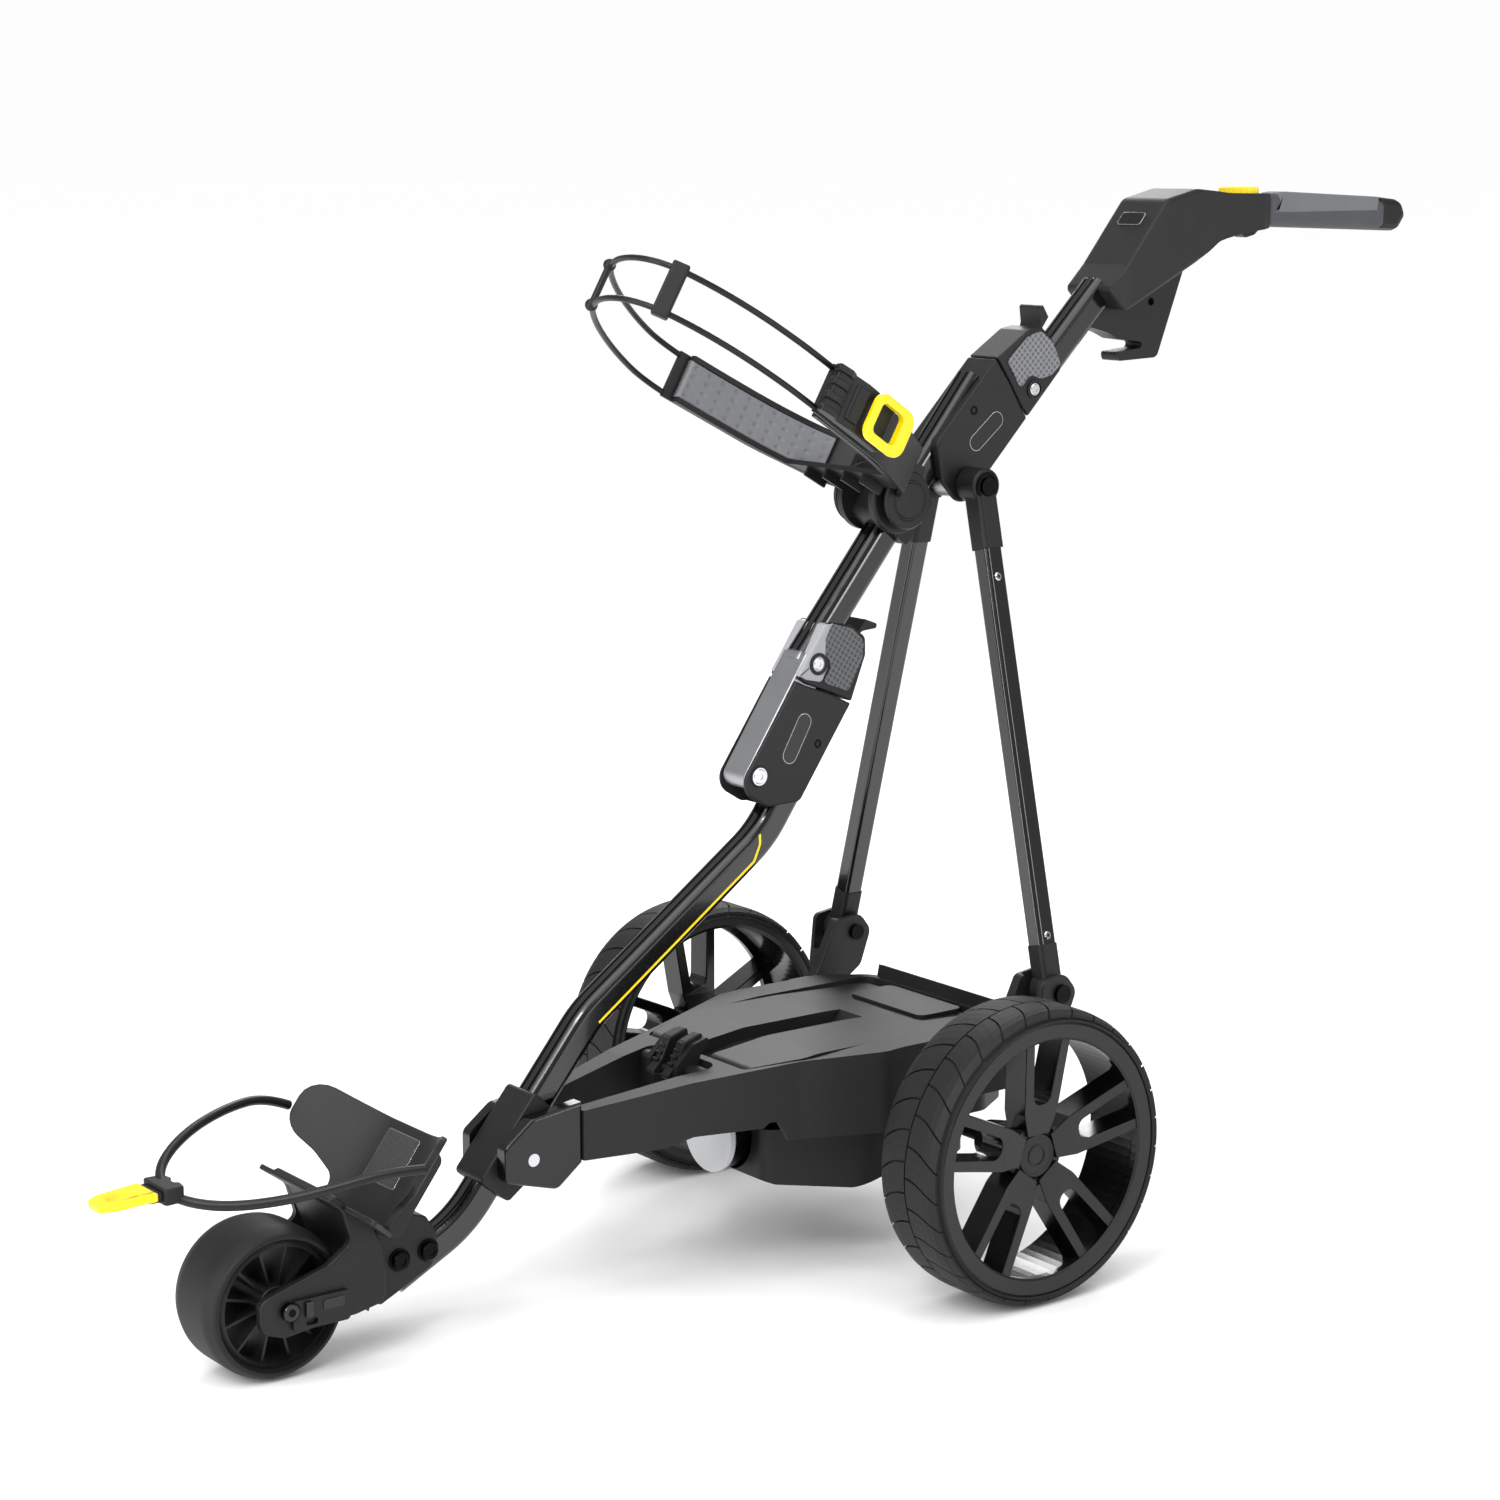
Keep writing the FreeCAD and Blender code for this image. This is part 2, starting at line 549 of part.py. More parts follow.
# Motor, gearbox case and bearings.
can = bar(motor_front + 7, motor_back, 0, motor_z, motor_r)
can = can.cut([bar(motor_front + 10, motor_back - 4, 0, motor_z, motor_r - 4),
               bar(motor_back - 5, motor_back + 1, 0, motor_z, motor_shaft_r + pivot_gap)])
pieces["motor_can"] = can
disc = bar(motor_front, motor_front + 7, 0, motor_z, motor_r + 2)
pieces["motor_cap"] = disc.makeFillet(2.5, [disc.Edges[0]])
case_half = 34
case_rise = bay_floor_rise - tray_wall - 0.5
case_outer = plate([(motor_back, axle_z - 40, 6), (24, axle_z - 38, 16), (30, axle_z, 14), (24,
                                                                                            axle_z + case_rise, 6),
                    (motor_back, axle_z + case_rise, 6)], -case_half, case_half)
case_inner = plate([(motor_back + 4, axle_z - 36, 3), (20, axle_z - 34, 13), (26, axle_z, 11),
                    (20, axle_z + case_rise - 2.5, 3), (motor_back + 4, axle_z + case_rise - 2.5, 3)],
                   -case_half + 4, case_half - 4)
case_holes = [rod((0, axle_z), 13, -case_half, case_half),
              bar(motor_back - 1, motor_back + 5, 0, motor_z, motor_shaft_r + pivot_gap)]
bridge = block(counter_x - 30, counter_x - 20, -case_half + 3, case_half - 3, axle_z - 8,
               axle_z + case_rise - 1)
case_holes.append(bar(counter_x - 31, counter_x - 19, 0, axle_z, 4 + pivot_gap))
pieces["gearbox_case"] = fused(case_outer.cut(case_inner), bridge).cut(case_holes)
bearing = turned([(drive_axle_r + pivot_gap, case_half - 8), (13, case_half - 8), (13, case_half),
                  (drive_axle_r + pivot_gap, case_half)], 0, axle_z)
pieces["axle_bearings"] = pair(bearing)

# Chassis tray with its two forward arms, belly cover and pivot covers.
rim_line = [(-364, axle_z + 44), (-240, axle_z + 63), (-139, axle_z + 73), (-40, axle_z + 78),
            (110, axle_z + 78)]
arm_front_x = -342
tray_end = 112
tray_half = 132
plan = [(arm_front_x, -arm_half_front - 6, 2), (-139, -100, 60), (-62, -tray_half, 30),
        (60, -tray_half, 20), (tray_end, -100, 30), (tray_end, 100, 30), (60, tray_half, 20),
        (-62, tray_half, 30), (-139, 100, 60), (arm_front_x, arm_half_front + 6, 2)]
gap_front = 24
gap_plan = [(arm_front_x - 1, -gap_front), (-196, -52, 14), (-196, 52, 14), (arm_front_x - 1, gap_front)]
shell = slab(plan, axle_z - 2, axle_z + 90)
inner_plan = [(arm_front_x + 4, -arm_half_front - 2), (-139, -96, 56), (-62, -tray_half + tray_wall, 26),
              (60, -tray_half + tray_wall, 16), (tray_end - 4, -97, 26), (tray_end - 4, 97, 26),
              (60, tray_half - tray_wall, 16), (-62, tray_half - tray_wall, 26), (-139, 96, 56),
              (arm_front_x + 4, arm_half_front + 2)]
under = slab(inner_plan, axle_z - 3, axle_z + bay_floor_rise - 4)
top_cut = plate(rim_line + [(tray_end + 5, axle_z + 200), (-364, axle_z + 200)], -200, 200)
skirt_cut = plate([(-364, axle_z - 5), (-364, axle_z - 1), (-266, axle_z + 3), (-240, axle_z + 11),
                   (-174, axle_z + 12), (-168, axle_z + 17), (-160, axle_z + 17), (-150, axle_z - 2),
                   (-150, axle_z - 5)], -200, 200)
gap_cut = slab(gap_plan, axle_z - 10, axle_z + 95)
gap_walls = slab([(arm_front_x, -gap_front - 3), (-192, -56, 15), (-192, 56, 15), (arm_front_x,
                                                                                   gap_front + 3)],
                 axle_z - 2, axle_z + 90).common(shell)
bay_x0 = -188
bay_x1 = bay_x0 + battery_length + 2
bay_half = battery_half_width + 1


def bay_outline(inset):
    half = bay_half - inset
    front = [(bay_x0 + inset, -half + 21, 8), (bay_x0 + 56, -half, 30)]
    rear = [(bay_x1 - inset, -half, 12)]
    return front + rear + [(x, -y, r) for x, y, r in (front + rear)[::-1]]


bay = slab(bay_outline(0), axle_z + bay_floor_rise, axle_z + 120)
pocket = under.cut(gap_walls)
tray = shell.cut([pocket, top_cut, skirt_cut, gap_cut, bay])
motor_room = bar(motor_front - 30, motor_back + 1, 0, motor_z, motor_r + 3)
catch_pin = (-210, axle_z + 58)
catch_pin_r = 2.5
catch_in, catch_out = 18, 25
catch_post = plate([(-218, axle_z + 64, 6), (-202, axle_z + 64, 6), (-190, axle_z + 20), (-218, axle_z + 20)],
                   catch_out + side_gap, catch_out + 30).cut(rod(catch_pin, catch_pin_r + pivot_gap, 0,
                                                                 catch_out + 10))
pivot_block_room = block(arm_front_x - 40, arm_front_x, -80, 80, 0, 400)
tray = tray.cut([motor_room, pivot_block_room])
tray = fused(tray, catch_post, mirrored(catch_post))

belly_top = axle_z - 2
belly_plan = [(-150, -58, 14), (-60, -104, 40), (50, -110, 20), (84, -70, 20), (84, 70, 20), (50, 110, 20),
              (-60, 104, 40), (-150, 58, 14)]
belly = slab(belly_plan, axle_z - 64, belly_top)
belly_under = plate([(-160, axle_z - 70), (-160, axle_z - 48), (-140, axle_z - 56, 8), (-72, axle_z - 63, 20),
                     (-30, axle_z - 52, 20), (90, axle_z - 44), (90, axle_z - 70)], -150, 150)
belly_void = slab([(-146, -55, 11), (-60, -101, 37), (49, -107, 17), (80, -68, 17), (80, 68, 17), (49,
                                                                                                   107, 17),
                   (-60, 101, 37), (-146, 55, 11)], axle_z - 47, belly_top)
belly_void = fused(belly_void, bar(motor_front - 5, motor_back + 30, 0, motor_z, motor_r + 3),
                   block(motor_back - 1, 40, -case_half - 1, case_half + 1, axle_z - 45, belly_top))
axle_room = rod((0, axle_z), 16, -200, 200)
pieces["chassis_belly"] = belly.cut([belly_under, belly_void, axle_room])
pieces["chassis_tray"] = tray.cut(axle_room)

cover_y = clamp_half + side_gap + 0.3
cover = plate([(pivot[0] - 30, pivot[1] - 17, 8), (pivot[0] - 30, pivot[1] + 16, 10), (pivot[0] - 1,
                                                                                       pivot[1] + 38, 10),
               (pivot[0] + 53, pivot[1] + 45), (pivot[0] + 53, pivot[1] - 12), (pivot[0] + 26,
                                                                                pivot[1] - 33, 10)],
              cover_y, pivot_end)
cover = softened(cover, 3, pivot_end, 1e6)
pieces["pivot_covers"] = pair(cover.cut(rod(pivot, pivot_pin_r + pivot_gap, 0, pivot_end + 1)))

# Battery and the catch that holds it.
battery_x0 = bay_x0 + 1
battery_x1 = battery_x0 + battery_length
battery_z0 = axle_z + bay_floor_rise + 0.5
battery_top = battery_z0 + battery_height
battery = plate([(battery_x0, battery_z0, 3), (battery_x1, battery_z0, 3), (battery_x1, battery_top - 4, 6),
                 (battery_x1 - 120, battery_top, 60), (battery_x0 + 70, battery_top, 60),
                 (battery_x0, battery_top - 8, 10)], -battery_half_width, battery_half_width)
battery = battery.common(slab(bay_outline(1), 0, 1000))
nest = plate([(battery_x0 - 1, battery_top - 24), (battery_x0 + 60, battery_top - 12, 30),
              (battery_x0 + 180, battery_top - 12, 10), (battery_x0 + 190, battery_top + 2),
              (battery_x0 - 1, battery_top + 2)], -tube_width / 2 - 4, tube_width / 2 + 4)
lid = slab([(battery_x1 - 58, -56, 8), (battery_x1 - 4, -56, 8), (battery_x1 - 4, 56, 8),
            (battery_x1 - 58, 56, 8)],
           battery_top - 12, battery_top + 1.5)
pieces["battery_pack"] = fused(battery.cut(nest), lid)
prong = plate([(-228, axle_z + 50, 3), (-226, axle_z + 66, 6), (-207, axle_z + 84, 6), (-190, axle_z + 89, 2),
               (-191, axle_z + 81, 2), (-199, axle_z + 74, 4), (-202, axle_z + 62, 4), (-203, axle_z + 50,
                                                                                        4)],
              catch_in, catch_out)
catch_bar = rod((-220, axle_z + 58), 3, -catch_in - 3, catch_in + 3)
catch_stub = rod(catch_pin, catch_pin_r, catch_out - 1, catch_out + 9)
pieces["battery_catch"] = fused(prong, mirrored(prong), catch_bar, catch_stub, mirrored(catch_stub))

# Strut brackets on the chassis and the two struts up to the upper hinge.
clevis_in = strut_foot_y - 11.5
clevis_out = strut_foot_y + 11.5
ear = [(strut_foot[0] - 24, strut_foot[1] + 15, 8), (strut_foot[0] + 6, strut_foot[1] + 19, 16),
       (strut_foot[0] + 21, strut_foot[1], 12), (strut_foot[0] + 8, strut_foot[1] - 36, 12),
       (60, axle_z + 36), (44, axle_z + 50), (strut_foot[0] - 46, strut_foot[1] - 30, 8)]
inner_ear = softened(plate(ear, clevis_in - 12, clevis_in), 2, clevis_in - 12, 1e6)
outer_ear = plate(ear[:3] + [(strut_foot[0] + 4, strut_foot[1] - 40, 8), (strut_foot[0] - 30,
                                                                          strut_foot[1] - 46, 8)],
                  clevis_out, clevis_out + 7)
outer_ear = softened(outer_ear, 2.5, clevis_out + 7, 1e6)
bridge_block = plate([(strut_foot[0] - 30, strut_foot[1] - 20, 4), (strut_foot[0] + 8, strut_foot[1] - 23, 3),
                      (strut_foot[0] + 4, strut_foot[1] - 40, 6), (strut_foot[0] - 30, strut_foot[1] - 46,
                                                                   6)],
                     clevis_in - 2, clevis_out + 2)
saddle = plate([(30, axle_z + 20), (30, axle_z + 74, 8), (70, axle_z + 74, 6), (86, axle_z + 40, 6),
                (86, axle_z + 20)], tray_half, clevis_in - 2)
foot_room = rod(strut_foot, 18.5, clevis_in, clevis_out)
strut_hole = rod(strut_foot, strut_bolt_r, 100, 220)
bracket_body = fused(inner_ear, outer_ear, bridge_block, saddle).cut([foot_room, strut_hole])
tray_solid = slab(plan, axle_z - 2, axle_z + 90)

strut_start = V(strut_foot[0], strut_foot_y, strut_foot[1])
strut_end = V(upper_pin[0], strut_head_y, upper_pin[1])
strut_line = (strut_end - strut_start).normalize()
strut_across = strut_line.cross(V(1, 0, 0)).normalize()
strut_over = strut_across.cross(strut_line).normalize()


def strut_bar(from_foot, to_head, shrink):
    start = strut_start + strut_line * from_foot
    end = strut_end - strut_line * to_head
    section = box_section(start, strut_across, strut_over, strut_width - shrink, strut_depth - shrink,
                          4 - shrink / 3)
    return swept([start, end], [0, 0], section)


head_low = hinge_half_width + body_gap + 0.8
head_high = head_low + 27
foot_boss = turned([(strut_bolt_r + pivot_gap, clevis_in + side_gap), (16, clevis_in + side_gap, 1.5),
                    (16, clevis_out - side_gap, 1.5), (strut_bolt_r + pivot_gap, clevis_out - side_gap)],
                   *strut_foot)
head_boss = turned([(strut_bolt_r, head_low), (17, head_low, 1.5), (17, head_high, 3), (strut_bolt_r,
                                                                                        head_high)],
                   *upper_pin)
neck_low = strut_bar(6, (strut_end - strut_start).Length - 44, -2)
neck_high = strut_bar((strut_end - strut_start).Length - 62, 6, -4)
keep_head = block(-1000, 1000, head_low, 400, 0, 2000)
clear_bores = [rod(strut_foot, strut_bolt_r + pivot_gap, 0, 300), rod(upper_pin, strut_bolt_r, 0, 300)]
tube_body = strut_bar(30, 44, 0)
hollow_body = tube_body.cut(strut_bar(29, 43, 2 * strut_wall))
fitting_low = fused(foot_boss, neck_low).cut([clear_bores[0], tube_body])
fitting_low = fitting_low.common(fused(rod(strut_foot, 16, clevis_in + side_gap, clevis_out - side_gap),
                                       block(-1000, 1000, 100, 200, strut_foot[1] + 10, 2000)))
head_seat = rod(upper_pin, 9.5, head_high, 100)
fitting_high = fused(head_boss, neck_high.common(keep_head)).cut([clear_bores[1], tube_body, head_seat])
strut_room = strut_bar(-30, 100, -6)
foot_axis = V(strut_foot[0], 0, strut_foot[1])
swung_rooms = [strut_room.rotated(foot_axis, V(0, -1, 0), turn) for turn in (0, 6, 12, 18, 24)]
pieces["strut_brackets"] = pair(bracket_body.cut([tray_solid] + swung_rooms))
pieces["strut_left"] = hollow_body
pieces["strut_right"] = mirrored(hollow_body)
pieces["strut_fittings"] = Part.makeCompound([fitting_low, mirrored(fitting_low), fitting_high,
                                              mirrored(fitting_high)])
head_bolt = fused(rod(upper_pin, strut_bolt_r, head_low, head_high), rod(upper_pin, 9, head_high,
                                                                         head_high + 4))
pieces["strut_head_bolts"] = pair(head_bolt)
foot_bolt = fused(rod(strut_foot, strut_bolt_r, clevis_in - 14, clevis_out + 7),
                  rod(strut_foot, 9, clevis_out + 7, clevis_out + 11),
                  rod(strut_foot, 8, clevis_in - 16, clevis_in - 12))
pieces["strut_foot_bolts"] = pair(foot_bolt)

# Lower bag rest: a shallow trough with wings, a base lip and the holder behind it.
rest_origin = (tube_foot[0] + 2, tube_foot[1] + 107)
rest_top, rest_low = 37, -56
trough = [(-46, -116), (-18, -80, 70), (0, -31, 60), (0, 31, 60), (-18, 80, 70), (-46, 116)]
thick = 5
trough_back = [(x + thick, y * 1.02, *r) for x, y, *r in trough]
panel = slab(trough + trough_back[::-1], rest_low, rest_top)
wing_cut = Part.Face(rounded_edges(
    [V(-100, y, s) for y, s in ((140, 40), (106, 40), (119, 22), (119, -2), (100, -18), (70, -30), (60, -44),
                                (58, -70), (140, -70))], [0, 12, 14, 12, 30, 24, 14, 0,
                                                          0])).extrude(V(160, 0, 0))
panel = panel.cut([wing_cut, mirrored(wing_cut)])
lip = slab([(-53, -108, 4), (-53, 108, 4), (0, 62, 20), (4, 50), (4, -50), (0, -62, 20)], rest_low - 4,
           rest_low)
holder = slab([(5, -26, 4), (24, -26, 6), (24, 26, 6), (5, 26, 4)], rest_low, rest_top - 12)
rest = tilted(fused(panel, lip, holder), rest_origin, rest_slope)
front_solid = fused(crown, collar, arm, mirrored(arm))
pieces["bag_rest"] = rest.cut([front_solid, main_outer])

# Rubber strap round the foot of the bag, with its clip and hook.


def rest_point(back, y, along):
    return tilted_point(back, y, along, rest_origin, rest_slope)


strap_points = [rest_point(-46, 119, 3), V(-586, 114, 207), V(-628, 98, 210), V(-676, 73, 207),
                V(-714, 47, 199), V(-738, 22, 190), V(-746, -2, 181), V(-736, -24, 174), V(-708, -46, 170),
                V(-668, -70, 174), V(-628, -92, 184), V(-589, -110, 194), rest_point(-46, -119, 3)]
strap_points = [strap_points[0]] + [p + V(0, 0,
                                          axle_z - 140) for p in strap_points[1:-1]] + [strap_points[-1]]
strap = cord("bag_rest_strap", strap_points, strap_r)
pieces["bag_rest_strap"] = strap.cut(pieces["bag_rest"])
strap_tip = strap_points[6]
clip_turn = FreeCAD.Rotation(V(0, 1, 0), 12)
clip = Part.makeBox(18, 34, 15, V(-10, -17, -7.5))
clip = clip.makeFillet(4, clip.Edges)
clip.Placement = FreeCAD.Placement(strap_tip, clip_turn)
pieces["strap_clip"] = clip.cut(pieces["bag_rest_strap"])
hook_outline = [(0, -6, 2), (-36, -7, 5), (-62, -2, 6), (-66, 10, 3), (-58, 12, 3), (-52, 4, 3), (-34, 3, 5),
                (0, 6, 2)]
hook = Part.Face(rounded_edges([V(p[0], -5, p[1]) for p in hook_outline],
                               corner_radii(hook_outline))).extrude(V(0, 10, 0))
hook.Placement = FreeCAD.Placement(strap_tip + V(-8, 0, 0), FreeCAD.Rotation(V(0, 1, 0), 8))
pieces["strap_hook"] = hook.cut([pieces["strap_clip"], pieces["bag_rest_strap"]])

# Upper bag cradle: clamp on the middle tube, hinged arms with pads, cords, buckle and ring.
cradle_origin = (upper_pin[0] - 75, upper_pin[1] + 7)
cradle_pin = step(middle_high, -63.3, middle_angle, 20.4)
cradle_pin_r = 5
clamp_base = step(middle_high, -90, middle_angle)
seat_frame = local(clamp_base, middle_angle)
saddle_half = tube_width / 2 + 6
disc_outer = saddle_half + 9
saddle_block = plate([seat_frame(0, -30, 10), seat_frame(52, -30, 10), seat_frame(52, 20, 4),
                      seat_frame(0, 20, 4)],
                     -saddle_half, saddle_half)
disc = rod(cradle_pin, 33, saddle_half, disc_outer)
disc = disc.makeFillet(3, [edge for edge in disc.Edges if abs(edge.CenterOfMass.y - disc_outer) < 0.1])
cradle_bore = rod(cradle_pin, cradle_pin_r, -80, 80)
pieces["bag_clamp"] = fused(saddle_block, disc, mirrored(disc)).cut([middle_outer, cradle_bore])
pieces["middle_tube"] = pieces["middle_tube"].cut(cradle_bore)
ear_in = disc_outer + body_gap
ear_out = ear_in + 7
cradle_bolt = fused(rod(cradle_pin, cradle_pin_r, -ear_out - 1, ear_out + 1),
                    rod(cradle_pin, 8, ear_out + 0.6, ear_out + 3),
                    rod(cradle_pin, 8, -ear_out - 3, -ear_out - 0.6))

band_height = 48
band_depth = 6
band_end = (-205, 118)


def cradle_band(route, radii, thickness, height):
    """Upright band along plan points (rearward, y) of the cradle."""
    points = [V(back, y, 0) for back, y in route]
    first = (points[1] - points[0]).normalize()
    section = box_section(points[0], first.cross(V(0, 0, 1)), V(0, 0, 1), thickness, height, thickness / 3)
    return swept(points, radii, section)


def cradle_place(shape):
    return tilted(shape, cradle_origin, cradle_slope)


band = cradle_band([(-14, ear_in + 4), (-32, 60), (-96, 97), band_end], [0, 16, 110, 0], band_depth,
                   band_height)
floor_plate = slab([(-40, -68, 8), (-40, 68, 8), (-70, 84), (-70, -84)], -band_height / 2,
                   -band_height / 2 + 5)
ribs = [block(-68, -41, y - 1.5, y + 1.5, -band_height / 2 - 9, -band_height / 2 + 1) for y in (-42, -14,
                                                                                                14, 42)]
cradle_frame = cradle_place(fused(band, mirrored(band), floor_plate, *ribs))
ear = plate([(cradle_pin[0] - 14, cradle_pin[1] - 13, 10), (cradle_pin[0] + 14, cradle_pin[1] - 14, 12),
             (cradle_pin[0] + 16, cradle_pin[1] + 12, 10), (cradle_pin[0] + 24, cradle_pin[1] + 30, 3),
             (cradle_pin[0] - 2, cradle_pin[1] + 40, 3), (cradle_pin[0] - 22, cradle_pin[1] + 6, 6)],
            ear_in, ear_out)
cradle_hole = rod(cradle_pin, cradle_pin_r + pivot_gap, -80, 80)
bolt_room = rod(cradle_pin, 9, ear_out + 0.3, 80)
clamp_room = rod(cradle_pin, 34.5, -ear_in, ear_in)
pieces["bag_arms"] = fused(cradle_frame.cut(clamp_room), ear, mirrored(ear)).cut(
    [cradle_hole, bolt_room, mirrored(bolt_room)])

pad_route = [(-41, 58.5), (-94, 89.5), (-200, 111)]
pad = cradle_band(pad_route, [0, 104, 0], 7, band_height - 8)
pieces["bag_pads"] = pair(cradle_place(pad)).cut(pieces["bag_arms"])

loop_plan = [band_end, (-234, 117), (-274, 99), (-315, 73), (-353, 42), (-384, 8), (-402, -28), (-406, -67),
             (-392, -98), (-354, -117), (-304, -126), (-256, -125), (-232, -122.5), (band_end[0],
                                                                                     -band_end[1])]


def loop_points(along):
    return [tilted_point(back, y, along, cradle_origin, cradle_slope) for back, y in loop_plan]


loop_cords = [cord("bag_cord", loop_points(side * cradle_half_gap), cord_r) for side in (-1, 1)]
pieces["bag_cords"] = Part.makeCompound(loop_cords).cut(pieces["bag_arms"])
link_back, link_y = -387, 4
link = Part.makeCylinder(3.2, 2 * cradle_half_gap, V(link_back, link_y, -cradle_half_gap))
link_ends = [Part.makeSphere(cord_r + 3, V(link_back, link_y, side * cradle_half_gap)) for side in (-1, 1)]
cross_clip = block(-8, 8, -cord_r - 2, cord_r + 2, -cradle_half_gap - 6, cradle_half_gap + 6)
cross_clip = cross_clip.makeFillet(2, cross_clip.Edges)
cross_clip.Placement = FreeCAD.Placement(V(-385, -101, 0), FreeCAD.Rotation(V(0, 0, 1), -38))
clips = Part.makeCompound([cradle_place(fused(link, *link_ends)), cradle_place(cross_clip)])
pieces["cord_clips"] = clips.cut(pieces["bag_cords"])

buckle_angle = math.degrees(math.atan2(14.5, 87))
buckle = slab([(-120, -109), (-206, -123.5), (-206, -134, 4), (-168, -131, 3), (-122, -121, 4)],
              -band_height / 2 + 1, band_height / 2 - 1)
pieces["bag_buckle"] = cradle_place(buckle).cut(pieces["bag_arms"])
ring_long, ring_tall, ring_bar = 58, 46, 8
ring_outline = [(-ring_long / 2, -ring_tall / 2, 12), (ring_long / 2, -ring_tall / 2, 14),
                (ring_long / 2, ring_tall / 2, 14), (-ring_long / 2, ring_tall / 2, 12)]
ring_hole = [(-ring_long / 2 + ring_bar, -ring_tall / 2 + ring_bar, 6), (ring_long / 2 - 16,
                                                                         -ring_tall / 2 + ring_bar, 6),
             (ring_long / 2 - 16, ring_tall / 2 - ring_bar, 6), (-ring_long / 2 + ring_bar,
                                                                 ring_tall / 2 - ring_bar, 6)]
ring = plate(ring_outline, -3, 3)
ring = ring.makeFillet(1.5, ring.Edges).cut(plate(ring_hole, -4, 4))
ring_pin = Part.makeCylinder(3.4, ring_tall - 26, V(ring_long / 2 - 5, 0, 13 - ring_tall / 2))
ring = ring.fuse(ring_pin).removeSplitter()
ring_centre = V(-132, -132.5, 0)
ring.Placement = FreeCAD.Placement(ring_centre, FreeCAD.Rotation(V(0, 0, 1), buckle_angle))
pieces["buckle_ring"] = cradle_place(ring)


# Handle: shell, grip, speed dial, trigger, control board and the accessory bracket.
def by_head(dx, dz, r=0):
    return upper_pin[0] + dx, upper_pin[1] + dz, r


shell_half = 35
neck_end = 410
grip_tip = grip_tip_x - upper_pin[0]
shell_side = plate([by_head(172, 182, 6), by_head(196, 206, 10), by_head(248, 270, 14), by_head(290, 280, 30),
                    by_head(346, 275, 40), by_head(neck_end, 274), by_head(neck_end, 239), by_head(368,
                                                                                                   235, 30),
                    by_head(328, 227, 30), by_head(289, 206, 12), by_head(195, 160, 8)], -shell_half,
                   shell_half)
shell_side = softened(shell_side, 5, -shell_half, shell_half)
shell_x = upper_pin[0]
shell_plan = slab([(shell_x + 160, -shell_half + 5), (shell_x + 200, -shell_half, 20),
                   (shell_x + 292, -shell_half, 40), (shell_x + 340, -25, 30), (shell_x + 396, -23, 10),
                   (shell_x + neck_end, -grip_half_width), (shell_x + neck_end, grip_half_width),
                   (shell_x + 396, 23, 10), (shell_x + 340, 25, 30), (shell_x + 292, shell_half, 40),
                   (shell_x + 200, shell_half, 20), (shell_x + 160, shell_half - 5)],
                  upper_pin[1] + 100, upper_pin[1] + 300)
board_room = block(shell_x + 262, shell_x + 370, -19, 19, upper_pin[1] + 240, upper_pin[1] + 268)
dial_x = shell_x + 380
dial_r = 21
dial_seat = upper_pin[1] + 271
dial_pocket = Part.makeCylinder(dial_r + 0.6, 30, V(dial_x, 0, dial_seat))
spindle_bore = Part.makeCylinder(4 + pivot_gap, 40, V(dial_x, 0, dial_seat - 12))
trigger_pin = by_head(404, 244)
trigger_room = plate([by_head(374, 220), by_head(neck_end + 2, 220), by_head(neck_end + 2, 251, 1),
                      by_head(374, 251, 1)], -7, 7)
trigger_bore = rod(trigger_pin, 2 + pivot_gap, -10.5, 10.5)
head = shell_side.common(shell_plan).cut([handle_outer, board_room, dial_pocket, spindle_bore, trigger_room,
                                          trigger_bore])
pieces["handle_shell"] = head
pieces["control_board"] = block(shell_x + 264, shell_x + 368, -17, 17, upper_pin[1] + 250, upper_pin[1] + 252)
pieces["speed_dial"] = fused(Part.makeCylinder(dial_r, 10, V(dial_x, 0, dial_seat + 0.4)),
                             Part.makeCylinder(4, 12, V(dial_x, 0, dial_seat - 11)))
trigger = plate([by_head(379, 246, 2), by_head(408, 247.5, 3), by_head(408, 240), by_head(398, 232, 5),
                 by_head(384, 229, 4), by_head(378, 236, 3)], -6.5, 6.5)
pieces["trigger"] = fused(trigger, rod(trigger_pin, 2, -10, 10))
grip = plate([by_head(neck_end, 273), by_head(436, 275, 60), by_head(grip_tip - 7, 265, 14),
              by_head(grip_tip, 249, 8), by_head(grip_tip - 12, 233, 12), by_head(436, 239, 60),
              by_head(neck_end, 240)], -grip_half_width, grip_half_width)
pieces["grip"] = softened(grip, 8, -grip_half_width, grip_half_width)
lug_half = 12
lug = plate([by_head(200, 170), by_head(240, 210), by_head(288, 210), by_head(292, 198, 4), by_head(258,
                                                                                                    112, 8),
             by_head(205, 110, 4), by_head(203, 119, 3), by_head(236, 122, 4), by_head(238, 128, 3),
             by_head(206, 132, 3), by_head(190, 139, 4), by_head(163, 146, 3), by_head(172, 158)],
            -lug_half, lug_half)
accessory_bore_r = 4
accessory_point = by_head(248.5, 168)
pieces["accessory_bracket"] = lug.cut([handle_outer, shell_side.common(shell_plan),
                                       rod(accessory_point, accessory_bore_r, -30, 30)])

# Pins that share a body share a node, and so do the two struts.
pieces["frame_hinge_pins"] = Part.makeCompound([pieces.pop("chassis_pivot_pin"),
                                                pieces.pop("lower_hinge_pin")])
pieces["middle_hinge_pins"] = Part.makeCompound([pieces.pop("upper_hinge_pin"), pieces.pop("lower_latch_pin"),
                                                 cradle_bolt])
pieces["struts"] = Part.makeCompound([pieces.pop("strut_left"), pieces.pop("strut_right")])
pieces["strap_hook_and_clip"] = Part.makeCompound([pieces.pop("strap_clip"), pieces.pop("strap_hook")])

